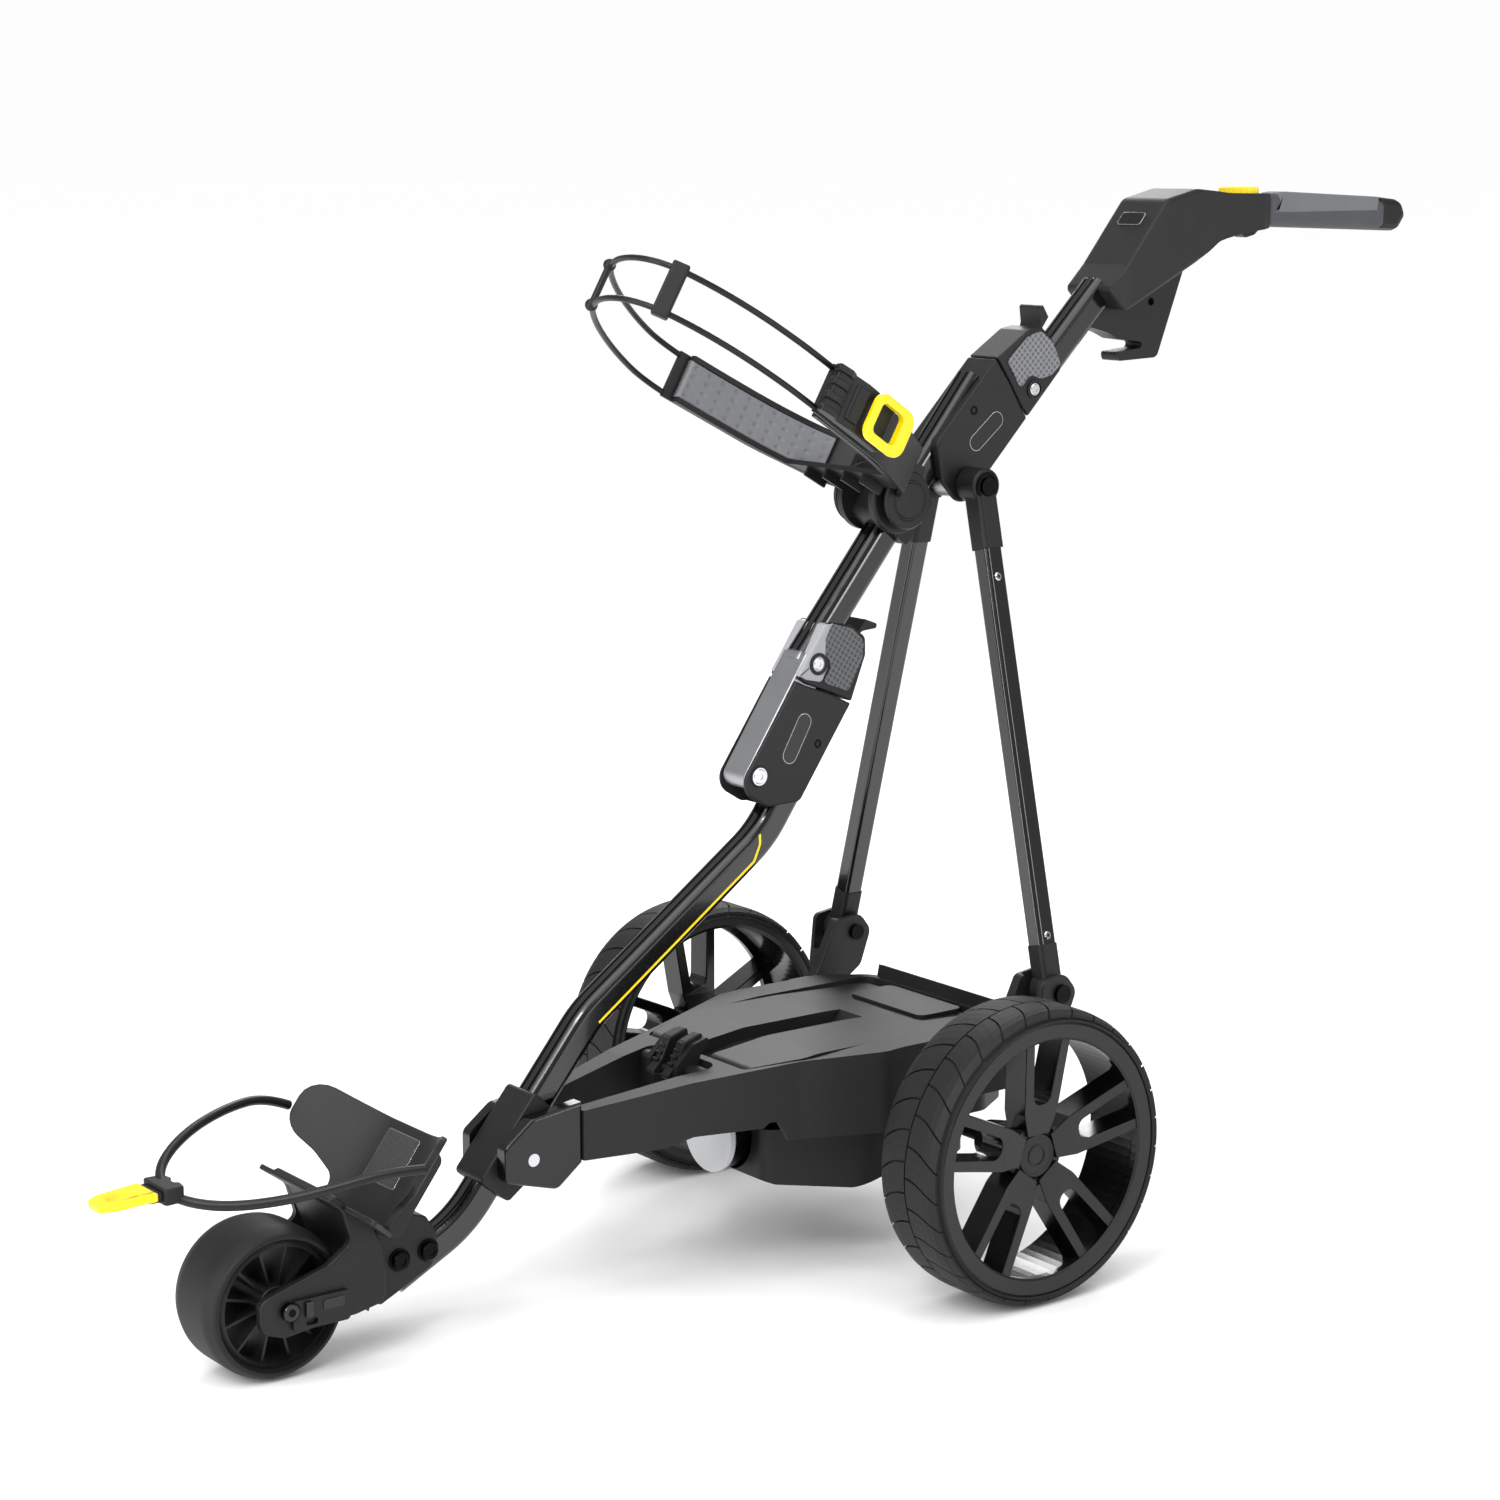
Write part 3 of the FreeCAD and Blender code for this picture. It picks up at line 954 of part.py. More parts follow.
# The finished trolley stands with its origin under the middle of its length.
centre_x = (front_axle_x - front_wheel_r + grip_tip_x) / 2
for name, piece in pieces.items():
    placed = piece.copy()
    placed.translate(V(-centre_x, 0, 0))
    placed.exportStep("parts/" + name + ".step")
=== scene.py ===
import math

import bmesh
import bpy
from mathutils import Matrix, Vector


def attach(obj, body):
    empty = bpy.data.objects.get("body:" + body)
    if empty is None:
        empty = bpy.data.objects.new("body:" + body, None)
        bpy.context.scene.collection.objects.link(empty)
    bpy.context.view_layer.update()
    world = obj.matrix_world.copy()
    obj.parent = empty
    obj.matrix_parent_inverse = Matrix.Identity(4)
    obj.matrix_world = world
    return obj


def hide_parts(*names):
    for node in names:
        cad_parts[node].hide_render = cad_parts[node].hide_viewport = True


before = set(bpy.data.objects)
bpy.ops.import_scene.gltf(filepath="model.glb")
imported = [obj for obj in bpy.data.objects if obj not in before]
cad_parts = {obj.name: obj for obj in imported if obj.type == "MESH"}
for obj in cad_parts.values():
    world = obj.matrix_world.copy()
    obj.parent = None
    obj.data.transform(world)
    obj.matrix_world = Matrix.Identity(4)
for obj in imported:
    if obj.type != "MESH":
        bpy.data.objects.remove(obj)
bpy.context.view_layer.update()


def hexColour(text):
    # sRGB hex to the linear colour that shaders use
    parts = [int(text[i:i + 2], 16) / 255 for i in (1, 3, 5)]
    return tuple(c / 12.92 if c <= 0.04045 else ((c + 0.055) / 1.055) ** 2.4 for c in parts) + (1,)


def at(x, y, z):
    # millimetres ahead of (-) or behind (+) the drive axle, across, and up
    return Vector(((x - 8) / 1000, y / 1000, z / 1000))


def sideFrame(x, z, angle, side=1):
    # u runs along the slope, w to the rear of it (side 1) or to the front (side -1)
    c, s = math.cos(math.radians(angle)), math.sin(math.radians(angle))
    return lambda u, w, y=0: at(x + u * c + w * side * s, y, z + u * s - w * side * c)


print("camera and cords")
cameraLook = dict(place=(-1.958, -2.442, 1.0537), aim=(-0.13075, 0, 0.4917), lens=78.9)
camera = bpy.data.objects.new("camera", bpy.data.cameras.new("camera"))
bpy.context.collection.objects.link(camera)
camera.location = cameraLook["place"]
camera.data.lens = cameraLook["lens"]
camera.data.sensor_width = 36
toAim = Vector(cameraLook["aim"]) - camera.location
camera.rotation_euler = toAim.to_track_quat("-Z", "Y").to_euler()
bpy.context.scene.camera = camera


def routeCurve(name, points, radius):
    curve = bpy.data.curves.new(name, "CURVE")
    curve.dimensions = "3D"
    # the bevel is 1 m, scaled down by each point's own radius, so the bounding box stays tight
    curve.bevel_depth = 1
    curve.bevel_resolution = 6
    curve.use_fill_caps = True
    line = curve.splines.new("NURBS")
    line.points.add(len(points) - 1)
    for knot, place in zip(line.points, points):
        knot.co = (*place, 1)
        knot.radius = radius
    line.order_u = 3
    line.use_endpoint_u = True
    line.resolution_u = 10
    piece = bpy.data.objects.new(name, curve)
    bpy.context.collection.objects.link(piece)
    return piece


def bagPoint(back, y, along, x, z, slope):
    # back from the bag's axis, across, and along it
    c, s = math.cos(math.radians(slope)), math.sin(math.radians(slope))
    return at(x + back * s + along * c, y, z - back * c + along * s)


def restPoint(back, y, along):
    return bagPoint(back, y, along, -523.235, 163.501, 53)


def cradlePoint(back, y, along):
    return bagPoint(back, y, along, 49.049, 736.886, 60)


strapLook = dict(radius=0.0045, length=0.468)
strapRoute = [restPoint(-46, 119, 3), at(-586, 114, 207), at(-628, 98, 210), at(-676, 73, 207), at(-714, 47, 199),
              at(-738, 22, 190), at(-746, -2, 181), at(-736, -24, 174), at(-708, -46, 170), at(-668, -70, 174),
              at(-628, -92, 184), at(-589, -110, 194), restPoint(-46, -119, 3)]
restStrap = routeCurve("restStrap", strapRoute, strapLook["radius"])
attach(restStrap, "frame")
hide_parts("bag_rest_strap")

loopLook = dict(radius=0.0028, length=0.519, halfGap=20)
loopPlan = [(-205, 118), (-234, 117), (-274, 99), (-315, 73), (-353, 42), (-384, 8), (-402, -28), (-406, -67),
            (-392, -98), (-354, -117), (-304, -126), (-256, -125), (-232, -122.5), (-205, -118)]
loopCords = []
for cordName, side in (("lowLoopCord", -1), ("highLoopCord", 1)):
    loopRoute = [cradlePoint(back, y, side * loopLook["halfGap"]) for back, y in loopPlan]
    loop = routeCurve(cordName, loopRoute, loopLook["radius"])
    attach(loop, "bag_cradle")
    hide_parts("bag_cords")
    loopCords.append(loop)


print("materials")


def addNode(tree, kind, settings=None, links=None):
    # a setting that starts with a dot is the node's own, the others are its sockets
    node = tree.nodes.new(kind)
    for key, value in (settings or {}).items():
        if isinstance(key, str) and key.startswith("."):
            setattr(node, key[1:], value)
        else:
            node.inputs[key].default_value = value
    for key, source in (links or {}).items():
        tree.links.new(source, node.inputs[key])
    return node


def surfaceMaterial(name, colour, other, rough, grain, bump=0.1, ior=1.5, metallic=0.0, coat=0.0, coatRough=0.05,
                    wander=0.05, cloud=40):
    # two close colours in soft clouds, grain in millimetres as fine bump, and roughness that wanders a little
    material = bpy.data.materials.new(name)
    material.use_nodes = True
    tree = material.node_tree
    shader = tree.nodes["Principled BSDF"]
    coords = addNode(tree, "ShaderNodeTexCoord").outputs["Object"]
    clouds = addNode(tree, "ShaderNodeTexNoise", {"Scale": 1000 / cloud, "Detail": 4}, {"Vector": coords})
    fine = addNode(tree, "ShaderNodeTexNoise", {"Scale": 1000 / grain, "Detail": 3}, {"Vector": coords})
    tint = addNode(tree, "ShaderNodeMix", {".data_type": "RGBA", 6: hexColour(colour), 7: hexColour(other)},
                   {0: clouds.outputs["Fac"]})
    roughs = addNode(tree, "ShaderNodeMapRange", {"To Min": rough - wander, "To Max": rough + wander},
                     {"Value": fine.outputs["Fac"]})
    relief = addNode(tree, "ShaderNodeBump", {"Strength": bump, "Distance": 0.0004},
                     {"Height": fine.outputs["Fac"]})
    shader.inputs["Metallic"].default_value = metallic
    if not metallic:
        shader.inputs["IOR"].default_value = ior
    shader.inputs["Coat Weight"].default_value = coat
    shader.inputs["Coat Roughness"].default_value = coatRough
    tree.links.new(tint.outputs[2], shader.inputs["Base Color"])
    tree.links.new(roughs.outputs["Result"], shader.inputs["Roughness"])
    tree.links.new(relief.outputs["Normal"], shader.inputs["Normal"])
    return material


# aluminium tube, gloss powder coated: deep black with sharp streaks and a faint orange peel of 3 mm
powderCoat = surfaceMaterial("powderCoatGlossBlack", "#030303", "#060607", 0.16, 3, 0.05, coat=0.5)
# glass-filled nylon, moulded: satin black with a 1.2 mm spark texture, drawn coarser than real to show
nylon = surfaceMaterial("nylonMouldedBlack", "#0c0c0d", "#111112", 0.5, 1.2, 0.16, ior=1.4)
# the same nylon with a charcoal tint and a duller skin, on the big housings
charcoalNylon = surfaceMaterial("nylonMouldedCharcoal", "#141415", "#19191b", 0.52, 1.2, 0.18, ior=1.4)
# ABS, moulded and polished: smooth black with clear reflections
absGloss = surfaceMaterial("absPolishedBlack", "#040405", "#070708", 0.2, 2.5, 0.04)
# aluminium foil edge, hot stamped: thin and silver
silverFoil = surfaceMaterial("foilHotStampedSilver", "#a6a7aa", "#b4b5b8", 0.25, 2, 0.02, metallic=1)
# rubber tyre compound, moulded: dull black, a little grey with dust on the high spots
tyreRubber = surfaceMaterial("tyreRubberMoulded", "#0e0e0f", "#131314", 0.62, 1.5, 0.25, ior=1.4)
# polypropylene rim, moulded: charcoal with a soft satin face
rimPlastic = surfaceMaterial("polypropyleneRimCharcoal", "#141416", "#19191b", 0.42, 1.4, 0.12, ior=1.4)
# steel, chrome plated: mirror bright with the faintest brushed wander
chromeSteel = surfaceMaterial("steelChromePlated", "#d8d9db", "#c4c5c8", 0.12, 2, 0.02, metallic=1)
# steel, blackened in oil: dark metal with a dry shine
blackSteel = surfaceMaterial("steelBlackened", "#121213", "#1c1c1e", 0.34, 0.8, 0.1, metallic=1)
# steel, machined: mid grey metal
machinedSteel = surfaceMaterial("steelMachined", "#8e8f92", "#a2a3a6", 0.3, 0.6, 0.1, metallic=1)
# aluminium, cast and bead blasted: pale grey with a fine even grain
castAluminium = surfaceMaterial("aluminiumBeadBlasted", "#9b9c9f", "#aeafb2", 0.42, 0.7, 0.2, metallic=1)
# ABS with a pale grey in-mould paint, on the latch levers
greyAbs = surfaceMaterial("absPaintedPaleGrey", "#8f9093", "#9a9b9e", 0.38, 1.6, 0.08)
# natural rubber cord, extruded: satin black
cordRubber = surfaceMaterial("rubberCordExtruded", "#0a0a0b", "#0f0f10", 0.42, 1.2, 0.15, ior=1.4)
# acetal, moulded in yellow: bright, a little waxy
yellowAcetal = surfaceMaterial("acetalMouldedYellow", "#f2d400", "#f7dc10", 0.34, 1.5, 0.05)
# thermoplastic rubber grip, moulded over: dark grey with a 1.6 mm leather-like grain
gripRubber = surfaceMaterial("tprGripGrained", "#3a3b3e", "#45464a", 0.62, 1.6, 0.5)
# ABS battery case, spark-eroded mould: grey black with a rough 1 mm grain
batteryAbs = surfaceMaterial("absBatteryCase", "#121213", "#18181a", 0.5, 1.0, 0.3, ior=1.4)
# glass-epoxy board with a green solder mask
boardResin = surfaceMaterial("epoxyBoardGreen", "#16502c", "#1a5a33", 0.35, 2, 0.05)


def dimpledMaterial(name, colour, pitShade, pitch, angle):
    # soft rubber, moulded with rows of round dimples at that pitch in millimetres, turned to the piece's slope;
    # the dimples are coloured darker with painted shade
    material = bpy.data.materials.new(name)
    material.use_nodes = True
    tree = material.node_tree
    shader = tree.nodes["Principled BSDF"]
    coords = addNode(tree, "ShaderNodeTexCoord").outputs["Object"]
    apart = addNode(tree, "ShaderNodeSeparateXYZ", links={"Vector": coords})
    flat = addNode(tree, "ShaderNodeCombineXYZ", links={"X": apart.outputs["X"], "Y": apart.outputs["Z"]})
    turned = addNode(tree, "ShaderNodeMapping", {"Rotation": (0, 0, math.radians(angle))},
                     {"Vector": flat.outputs[0]})
    cells = addNode(tree, "ShaderNodeTexVoronoi",
                    {".voronoi_dimensions": "2D", "Scale": 1000 / pitch, "Randomness": 0},
                    {"Vector": turned.outputs["Vector"]})
    bowl = addNode(tree, "ShaderNodeMapRange", {"From Min": 0.2, "From Max": 0.42,
                                                ".interpolation_type": "SMOOTHSTEP"},
                   {"Value": cells.outputs["Distance"]})
    fine = addNode(tree, "ShaderNodeTexNoise", {"Scale": 900, "Detail": 3}, {"Vector": coords})
    height = addNode(tree, "ShaderNodeMath", {".operation": "MULTIPLY_ADD", 1: 0.05},
                     {0: fine.outputs["Fac"], 2: bowl.outputs["Result"]})
    # the second colour is painted shade, darker down in each dimple
    tint = addNode(tree, "ShaderNodeMix", {".data_type": "RGBA", 6: hexColour(pitShade), 7: hexColour(colour)},
                   {0: bowl.outputs["Result"]})
    relief = addNode(tree, "ShaderNodeBump", {"Strength": 0.7, "Distance": 0.0012}, {"Height": height.outputs[0]})
    shader.inputs["IOR"].default_value = 1.5
    shader.inputs["Roughness"].default_value = 0.62
    tree.links.new(tint.outputs[2], shader.inputs["Base Color"])
    tree.links.new(relief.outputs["Normal"], shader.inputs["Normal"])
    return material


# soft rubber, moulded with 5 mm dimples: mid grey on the lower lever, paler on the upper one, each with painted
# shade darkening its dimples
lowerPadRubber = dimpledMaterial("padRubberLower", "#5a5b5e", "#3c3d40", 5, -55.4)
upperPadRubber = dimpledMaterial("padRubberUpper", "#77787b", "#55565a", 5, -46)
# soft rubber, moulded smooth: mid grey with a fine grain, on the cradle
smoothPadRubber = surfaceMaterial("padRubberSmooth", "#66676a", "#707174", 0.62, 1.2, 0.12)
# thermoplastic rubber panel over the grip: paler grey, leather-like 2 mm grain
panelRubber = surfaceMaterial("tprPanelGrained", "#5c5e62", "#6a6c70", 0.66, 2, 0.6)
# steel cap in a silver lacquer
silverLacquer = surfaceMaterial("steelSilverLacquered", "#c6c7c9", "#d0d1d3", 0.4, 1.5, 0.05)

nodeFinish = {
    powderCoat: ["main_tube", "middle_tube", "handle_tube", "struts"],
    charcoalNylon: ["lower_hinge_housing", "handle_shell", "bag_rest", "strut_brackets", "chassis_tray"],
    nylon: ["axle_adjusters", "front_bracket", "tube_clamp", "bag_clamp", "bag_arms", "accessory_bracket",
            "chassis_belly", "strut_fittings", "cord_clips", "bag_buckle", "battery_catch", "upper_hinge_housing",
            "lower_latch_lever", "upper_latch_lever"],
    absGloss: ["pivot_covers", "trigger", "strap_hook_and_clip"],
    tyreRubber: ["left_tyre", "right_tyre", "front_tyre"],
    rimPlastic: ["left_rim", "right_rim", "front_rim"],
    chromeSteel: ["frame_hinge_pins", "middle_hinge_pins", "upper_latch_pin"],
    blackSteel: ["bracket_bolts", "front_axle", "drive_axle", "strut_head_bolts", "strut_foot_bolts",
                 "motor_can"],
    machinedSteel: ["axle_gear", "counter_shaft", "motor_shaft", "front_bearings", "axle_bearings"],
    castAluminium: ["gearbox_case", "middle_foot", "handle_foot"],
    yellowAcetal: ["buckle_ring", "speed_dial"],
    gripRubber: ["grip"],
    batteryAbs: ["battery_pack"],
    boardResin: ["control_board"],
    lowerPadRubber: ["lower_latch_pads"],
    upperPadRubber: ["upper_latch_pads"],
    smoothPadRubber: ["bag_pads"],
    silverLacquer: ["motor_cap"],
}
for material, nodeNames in nodeFinish.items():
    for nodeName in nodeNames:
        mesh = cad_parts[nodeName].data
        mesh.materials.clear()
        mesh.materials.append(material)
restStrap.data.materials.append(cordRubber)
for loop in loopCords:
    loop.data.materials.append(cordRubber)

def keepPiece(name, bm, body, materials, replaced=(), smooth=False):
    # merged doubles, normals outward, then the object, its body and its slot
    bmesh.ops.remove_doubles(bm, verts=bm.verts, dist=0.000002)
    bmesh.ops.recalc_face_normals(bm, faces=bm.faces)
    for face in bm.faces:
        face.smooth = smooth
    mesh = bpy.data.meshes.new(name)
    bm.to_mesh(mesh)
    bm.free()
    for material in materials:
        mesh.materials.append(material)
    piece = bpy.data.objects.new(name, mesh)
    bpy.context.collection.objects.link(piece)
    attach(piece, body)
    if replaced:
        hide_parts(*replaced)
    return piece


def addPlate(bm, place, outline, low, high, edge=0.8):
    # outline of (u, w, corner radius), thick from low to high across, with softened rims; all in millimetres
    ring = [bm.verts.new(place(u, w, low)) for u, w, *_ in outline]
    bm.faces.new(ring)
    count = len(ring)
    for i, corner in enumerate(outline):
        if len(corner) > 2 and corner[2]:
            before, here, after = (Vector(outline[(i + k) % count][:2]) for k in (-1, 0, 1))
            turn = (here - before).angle(after - here)
            reach = corner[2] * math.tan(turn / 2) / 1000
            bmesh.ops.bevel(bm, geom=[ring[i]], offset=reach, offset_type="OFFSET", affect="VERTICES", segments=5,
                            profile=0.5, material=-1)
    base = [f for f in bm.faces if all(len(v.link_faces) == 1 for v in f.verts)][-1]
    grown = bmesh.ops.extrude_face_region(bm, geom=[base])["geom"]
    top = [g for g in grown if isinstance(g, bmesh.types.BMFace)]
    bmesh.ops.translate(bm, verts=[g for g in grown if isinstance(g, bmesh.types.BMVert)],
                        vec=place(0, 0, high) - place(0, 0, low))
    if edge:
        rims = list(top[0].edges) + list(base.edges if base.is_valid else [])
        bmesh.ops.bevel(bm, geom=rims, offset=edge / 1000, offset_type="OFFSET", affect="EDGES", segments=2,
                        profile=0.5, material=-1)


def addTurned(bm, profile, centre, axis, steps=32):
    # profile of (radius, height) turned about the axis at the centre; all in millimetres
    axis = Vector(axis).normalized()
    side = axis.orthogonal().normalized()
    verts = [bm.verts.new(Vector(centre) + side * (r / 1000) + axis * (h / 1000)) for r, h in profile]
    edges = [bm.edges.new(two) for two in zip(verts, verts[1:])]
    bmesh.ops.spin(bm, geom=verts + edges, cent=centre, axis=axis, angle=math.tau, steps=steps, use_merge=True)


def addScrew(bm, centre, axis, r, rise, socket):
    # cap with a soft rim and a socket sunk in it
    addTurned(bm, [(0.01, rise - 2), (socket, rise - 2), (socket, rise), (r - 1, rise), (r, rise - 1), (r, -0.5),
                   (0.01, -0.5)], centre, axis, 24)


def mergeInto(bm, part):
    # adds one bmesh to another and frees it
    partMesh = bpy.data.meshes.new("part")
    part.to_mesh(partMesh)
    part.free()
    bm.from_mesh(partMesh)
    bpy.data.meshes.remove(partMesh)


outward = {-1: (0, -1, 0), 1: (0, 1, 0)}

print("tubes")
tubeLook = dict(half=14, depth=15, corner=7.5, bendRadius=120, grooveIn=3.6, grooveWide=2.6, grooveDeep=1.8)


def sweptTube(name, path, body, replaced):
    # box tube with two grooves along its front, swept along side-view points
    look = tubeLook
    near, far = look["grooveIn"], look["grooveIn"] + look["grooveWide"]
    floorLine = look["depth"] - look["grooveDeep"]
    half, deep = look["half"], look["depth"]
    outline = [(-half, -deep), (half, -deep), (half, deep), (far, deep), (far - 0.6, floorLine),
               (near + 0.6, floorLine), (near, deep), (-near, deep), (-near - 0.6, floorLine),
               (-far + 0.6, floorLine), (-far, deep), (-half, deep)]
    stations = []
    for i, point in enumerate(path):
        here = Vector(point)
        if 0 < i < len(path) - 1:
            ahead, back = (Vector(path[i + 1]) - here).normalized(), (here - Vector(path[i - 1])).normalized()
            reach = look["bendRadius"] * math.tan(back.angle(ahead) / 2)
            for k in range(13):
                t = k / 12
                spot = ((here - back * reach) * (1 - t) ** 2 + here * 2 * t * (1 - t)
                        + (here + ahead * reach) * t * t)
                run = back * (1 - t) + ahead * t
                stations.append((spot, math.atan2(run.y, run.x)))
        else:
            run = (Vector(path[1]) - here) if i == 0 else (here - Vector(path[i - 1]))
            stations.append((here, math.atan2(run.y, run.x)))
    bm = bmesh.new()
    ring = [bm.verts.new((0, a / 1000, d / 1000)) for a, d in outline]
    bm.faces.new(ring)
    bmesh.ops.bevel(bm, geom=[ring[0], ring[1], ring[2], ring[-1]], offset=look["corner"] / 1000,
                    offset_type="OFFSET", affect="VERTICES", segments=6, profile=0.5, material=-1)
    edges = list(bm.edges)
    laid = Matrix.Identity(4)
    for k, (spot, turn) in enumerate(stations):
        stand = Matrix.Translation(at(spot.x, 0, spot.y)) @ Matrix.Rotation(-turn, 4, "Y")
        if k == 0:
            verts = list(bm.verts)
        else:
            grown = bmesh.ops.extrude_edge_only(bm, edges=edges)["geom"]
            verts = [g for g in grown if isinstance(g, bmesh.types.BMVert)]
            edges = [g for g in grown if isinstance(g, bmesh.types.BMEdge) and g.is_boundary]
        bmesh.ops.transform(bm, matrix=stand @ laid.inverted(), verts=verts)
        laid = stand
    bmesh.ops.holes_fill(bm, edges=[e for e in bm.edges if e.is_boundary], sides=0)
    keepPiece(name, bm, body, [powderCoat], replaced)


sweptTube("mainTubeGrooved", [(-525.235, 56.501), (-451.727, 93.955), (-312.637, 263.89), (-111.727, 408.258),
                              (-39.457, 511.471)], "frame", ["main_tube"])
lowFrame = sideFrame(-128.013, 470.08, 55.4)
highFrame = sideFrame(124.049, 729.886, 46, -1)
middleRun = sideFrame(-137.532, 477.87, 50.7)
middleStart, middleEnd = [(v.x * 1000 + 8, v.z * 1000) for v in (middleRun(124, 0), middleRun(452.5, 0))]
sweptTube("middleTubeGrooved", [middleStart, middleEnd], "middle", ["middle_tube"])
sweptTube("handleTubeGrooved", [(213.852, 815.446), (311.433, 913.026)], "handle", ["handle_tube"])

# yellow stripe printed on both sides of the main tube, with a hook at its top end
stripeFrame = sideFrame(-312.637, 263.89, 35.7)
bm = bmesh.new()
for side in (-1, 1):
    addPlate(bm, lambda u, w, y: stripeFrame(u, w, y * side),
             [(2, 6.2), (2, 8.4), (222, 8.4, 6), (238, -1, 10), (243, -9), (240.6, -9.8), (235.4, -2, 8),
              (221, 6.2, 5)],
             13.9, 14.25, 0)
keepPiece("tubeStripe", bm, "frame", [yellowAcetal])

print("rear wheels")
wheelLook = dict(inner=213.4, outer=295.4, radius=140, blocks=30, pairs=5)


def crownRadius(share):
    # the tread's radius across its width, share from -1 to 1
    return wheelLook["radius"] - 7 * abs(share) ** 6


def rearWheel(side, name):
    look = wheelLook
    hub = at(0, 0, 140)
    axis = outward[side]
    y0, y1 = look["inner"], look["outer"]
    middle, half = (y0 + y1) / 2, (y1 - y0) / 2
    bm = bmesh.new()
    shoulder = [(crownRadius(k / 8) - 2.4 + 0.8 * (abs(k) == 8), middle + half * k / 8.6) for k in range(-8, 9)]
    addTurned(bm, [(122, y0 + 8), (128.6, y0 + 8), (128.6, y0 + 2), (131, y0)] + shoulder
              + [(131, y1), (128.6, y1 - 2), (128.6, y1 - 8), (122, y1 - 8), (122, y0 + 8)], hub, axis, 72)
    # sculpted blocks that leave thin chevron grooves between them
    step = math.tau / look["blocks"]
    for row in (-1, 1):
        for i in range(look["blocks"]):
            grid = bmesh.ops.create_grid(bm, x_segments=3, y_segments=5, size=0.5)["verts"]
            for v in grid:
                share = (v.co.y + 0.5) * 0.9 + 0.02
                turn = (i + v.co.x * 0.93 + 0.5 * (row > 0) + share * share * 0.7) * step
                r = crownRadius(share) / 1000
                v.co = Vector((r * math.cos(turn), side * (middle + row * share * half) / 1000,
                               r * math.sin(turn))) + hub
            faces = list({f for v in grid for f in v.link_faces})
            grown = bmesh.ops.extrude_face_region(bm, geom=faces)["geom"]
            for v in (g for g in grown if isinstance(g, bmesh.types.BMVert)):
                reach = Vector((v.co.x - hub.x, 0, v.co.z - hub.z))
                v.co -= reach.normalized() * 0.0032
    keepPiece(name + "TyreTreaded", bm, name + "_wheel", [tyreRubber], [name + "_tyre"])

    bm = bmesh.new()
    addTurned(bm, [(128.3, y0 + 2), (128.3, y0 + 8), (121.8, y0 + 9), (121.8, y1 - 9), (128.3, y1 - 8),
                   (128.3, y1 - 3), (126.5, y1 - 2), (114, y1 - 3), (112, y1 - 5), (112, y1 - 12),
                   (118.5, y1 - 20),
                   (118.5, y0 + 6), (122, y0 + 3), (126, y0 + 2), (128.3, y0 + 2)], hub, axis, 96)
    addTurned(bm, [(8, y0 - 5), (18, y0 - 5), (27, y1 - 44), (30, y1 - 24), (30, y1 - 21), (22, y1 - 20.5),
                   (21.5, y1 - 24), (8, y1 - 24), (8, y0 - 5)], hub, axis, 48)
    for pair in range(look["pairs"]):
        turn = math.radians(90 + 360 / look["pairs"] * pair)
        c, s = math.cos(turn), math.sin(turn)
        bmSpoke = bmesh.new()
        addPlate(bmSpoke, lambda u, w, y: hub + Vector(((w * c - u * s) / 1000, side * y / 1000,
                                                        (w * s + u * c) / 1000)),
                 [(-13, 20), (-20, 42, 8), (-27, 116), (-17, 119), (-9.5, 50, 9), (9.5, 50, 9), (17, 119),
                  (27, 116),
                  (20, 42, 8), (13, 20)], y1 - 34, y1 - 5, 1.0)
        for v in bmSpoke.verts:
            reach = math.hypot(v.co.x - hub.x, v.co.z - hub.z)
            v.co.y -= side * 0.13 * (0.118 - reach)      # the spokes run in towards the hub
        mergeInto(bm, bmSpoke)
    rim = keepPiece(name + "RimSpoked", bm, name + "_wheel", [rimPlastic, absGloss], [name + "_rim"])
    for polygon in rim.data.polygons:
        facing = polygon.normal.y * side
        reach = math.hypot(polygon.center.x - hub.x, polygon.center.z - hub.z)
        polygon.material_index = 0 if facing > 0.5 or reach > 0.1215 else 1

    bm = bmesh.new()
    addTurned(bm, [(0.01, y1 - 30), (20.8, y1 - 30), (20.8, y1 - 20), (19.8, y1 - 19), (17.5, y1 - 19.6),
                   (16.8, y1 - 20), (0.01, y1 - 19.4)], hub, axis, 48)
    addTurned(bm, [(9, y1 - 19.8), (9, y1 - 18.9), (10, y1 - 18.9), (10, y1 - 19.8), (9, y1 - 19.8)], hub, axis,
              40)
    keepPiece(name + "HubCap", bm, name + "_wheel", [charcoalNylon])


rearWheel(-1, "right")
rearWheel(1, "left")

print("hinges")


def cradleHinge(y):
    return at(35.05, y, 720.931)


def capsule(u0, w0, u1, w1, r):
    # corners of a round-ended bar between two points
    run = Vector((u1 - u0, w1 - w0)).normalized()
    side = Vector((-run.y, run.x))
    ends = [Vector((u0, w0)) - run * r, Vector((u1, w1)) + run * r]
    return [(*(ends[0] + side * r), r * 0.98), (*(ends[0] - side * r), r * 0.98),
            (*(ends[1] - side * r), r * 0.98),
            (*(ends[1] + side * r), r * 0.98)]


def badge(name, place, ends, r, low, body):
    # silver-edged capsule with a dark field; the field is left plain
    bm = bmesh.new()
    for side in (-1, 1):
        addPlate(bm, lambda u, w, y: place(u, w, y * side), capsule(*ends, r), low - 0.3, low + 0.35, 0.2)
    keepPiece(name + "Rim", bm, body, [silverFoil])
    bm = bmesh.new()
    for side in (-1, 1):
        addPlate(bm, lambda u, w, y: place(u, w, y * side), capsule(*ends, r - 0.7), low - 0.3, low + 0.5, 0.1)
    keepPiece(name + "Field", bm, body, [absGloss])


badge("lowerBadge", lowFrame, (34, 20, 68, 17), 8.5, 22, "frame")
badge("upperBadge", highFrame, (36, 20, 68, 16), 8.5, 22, "middle")

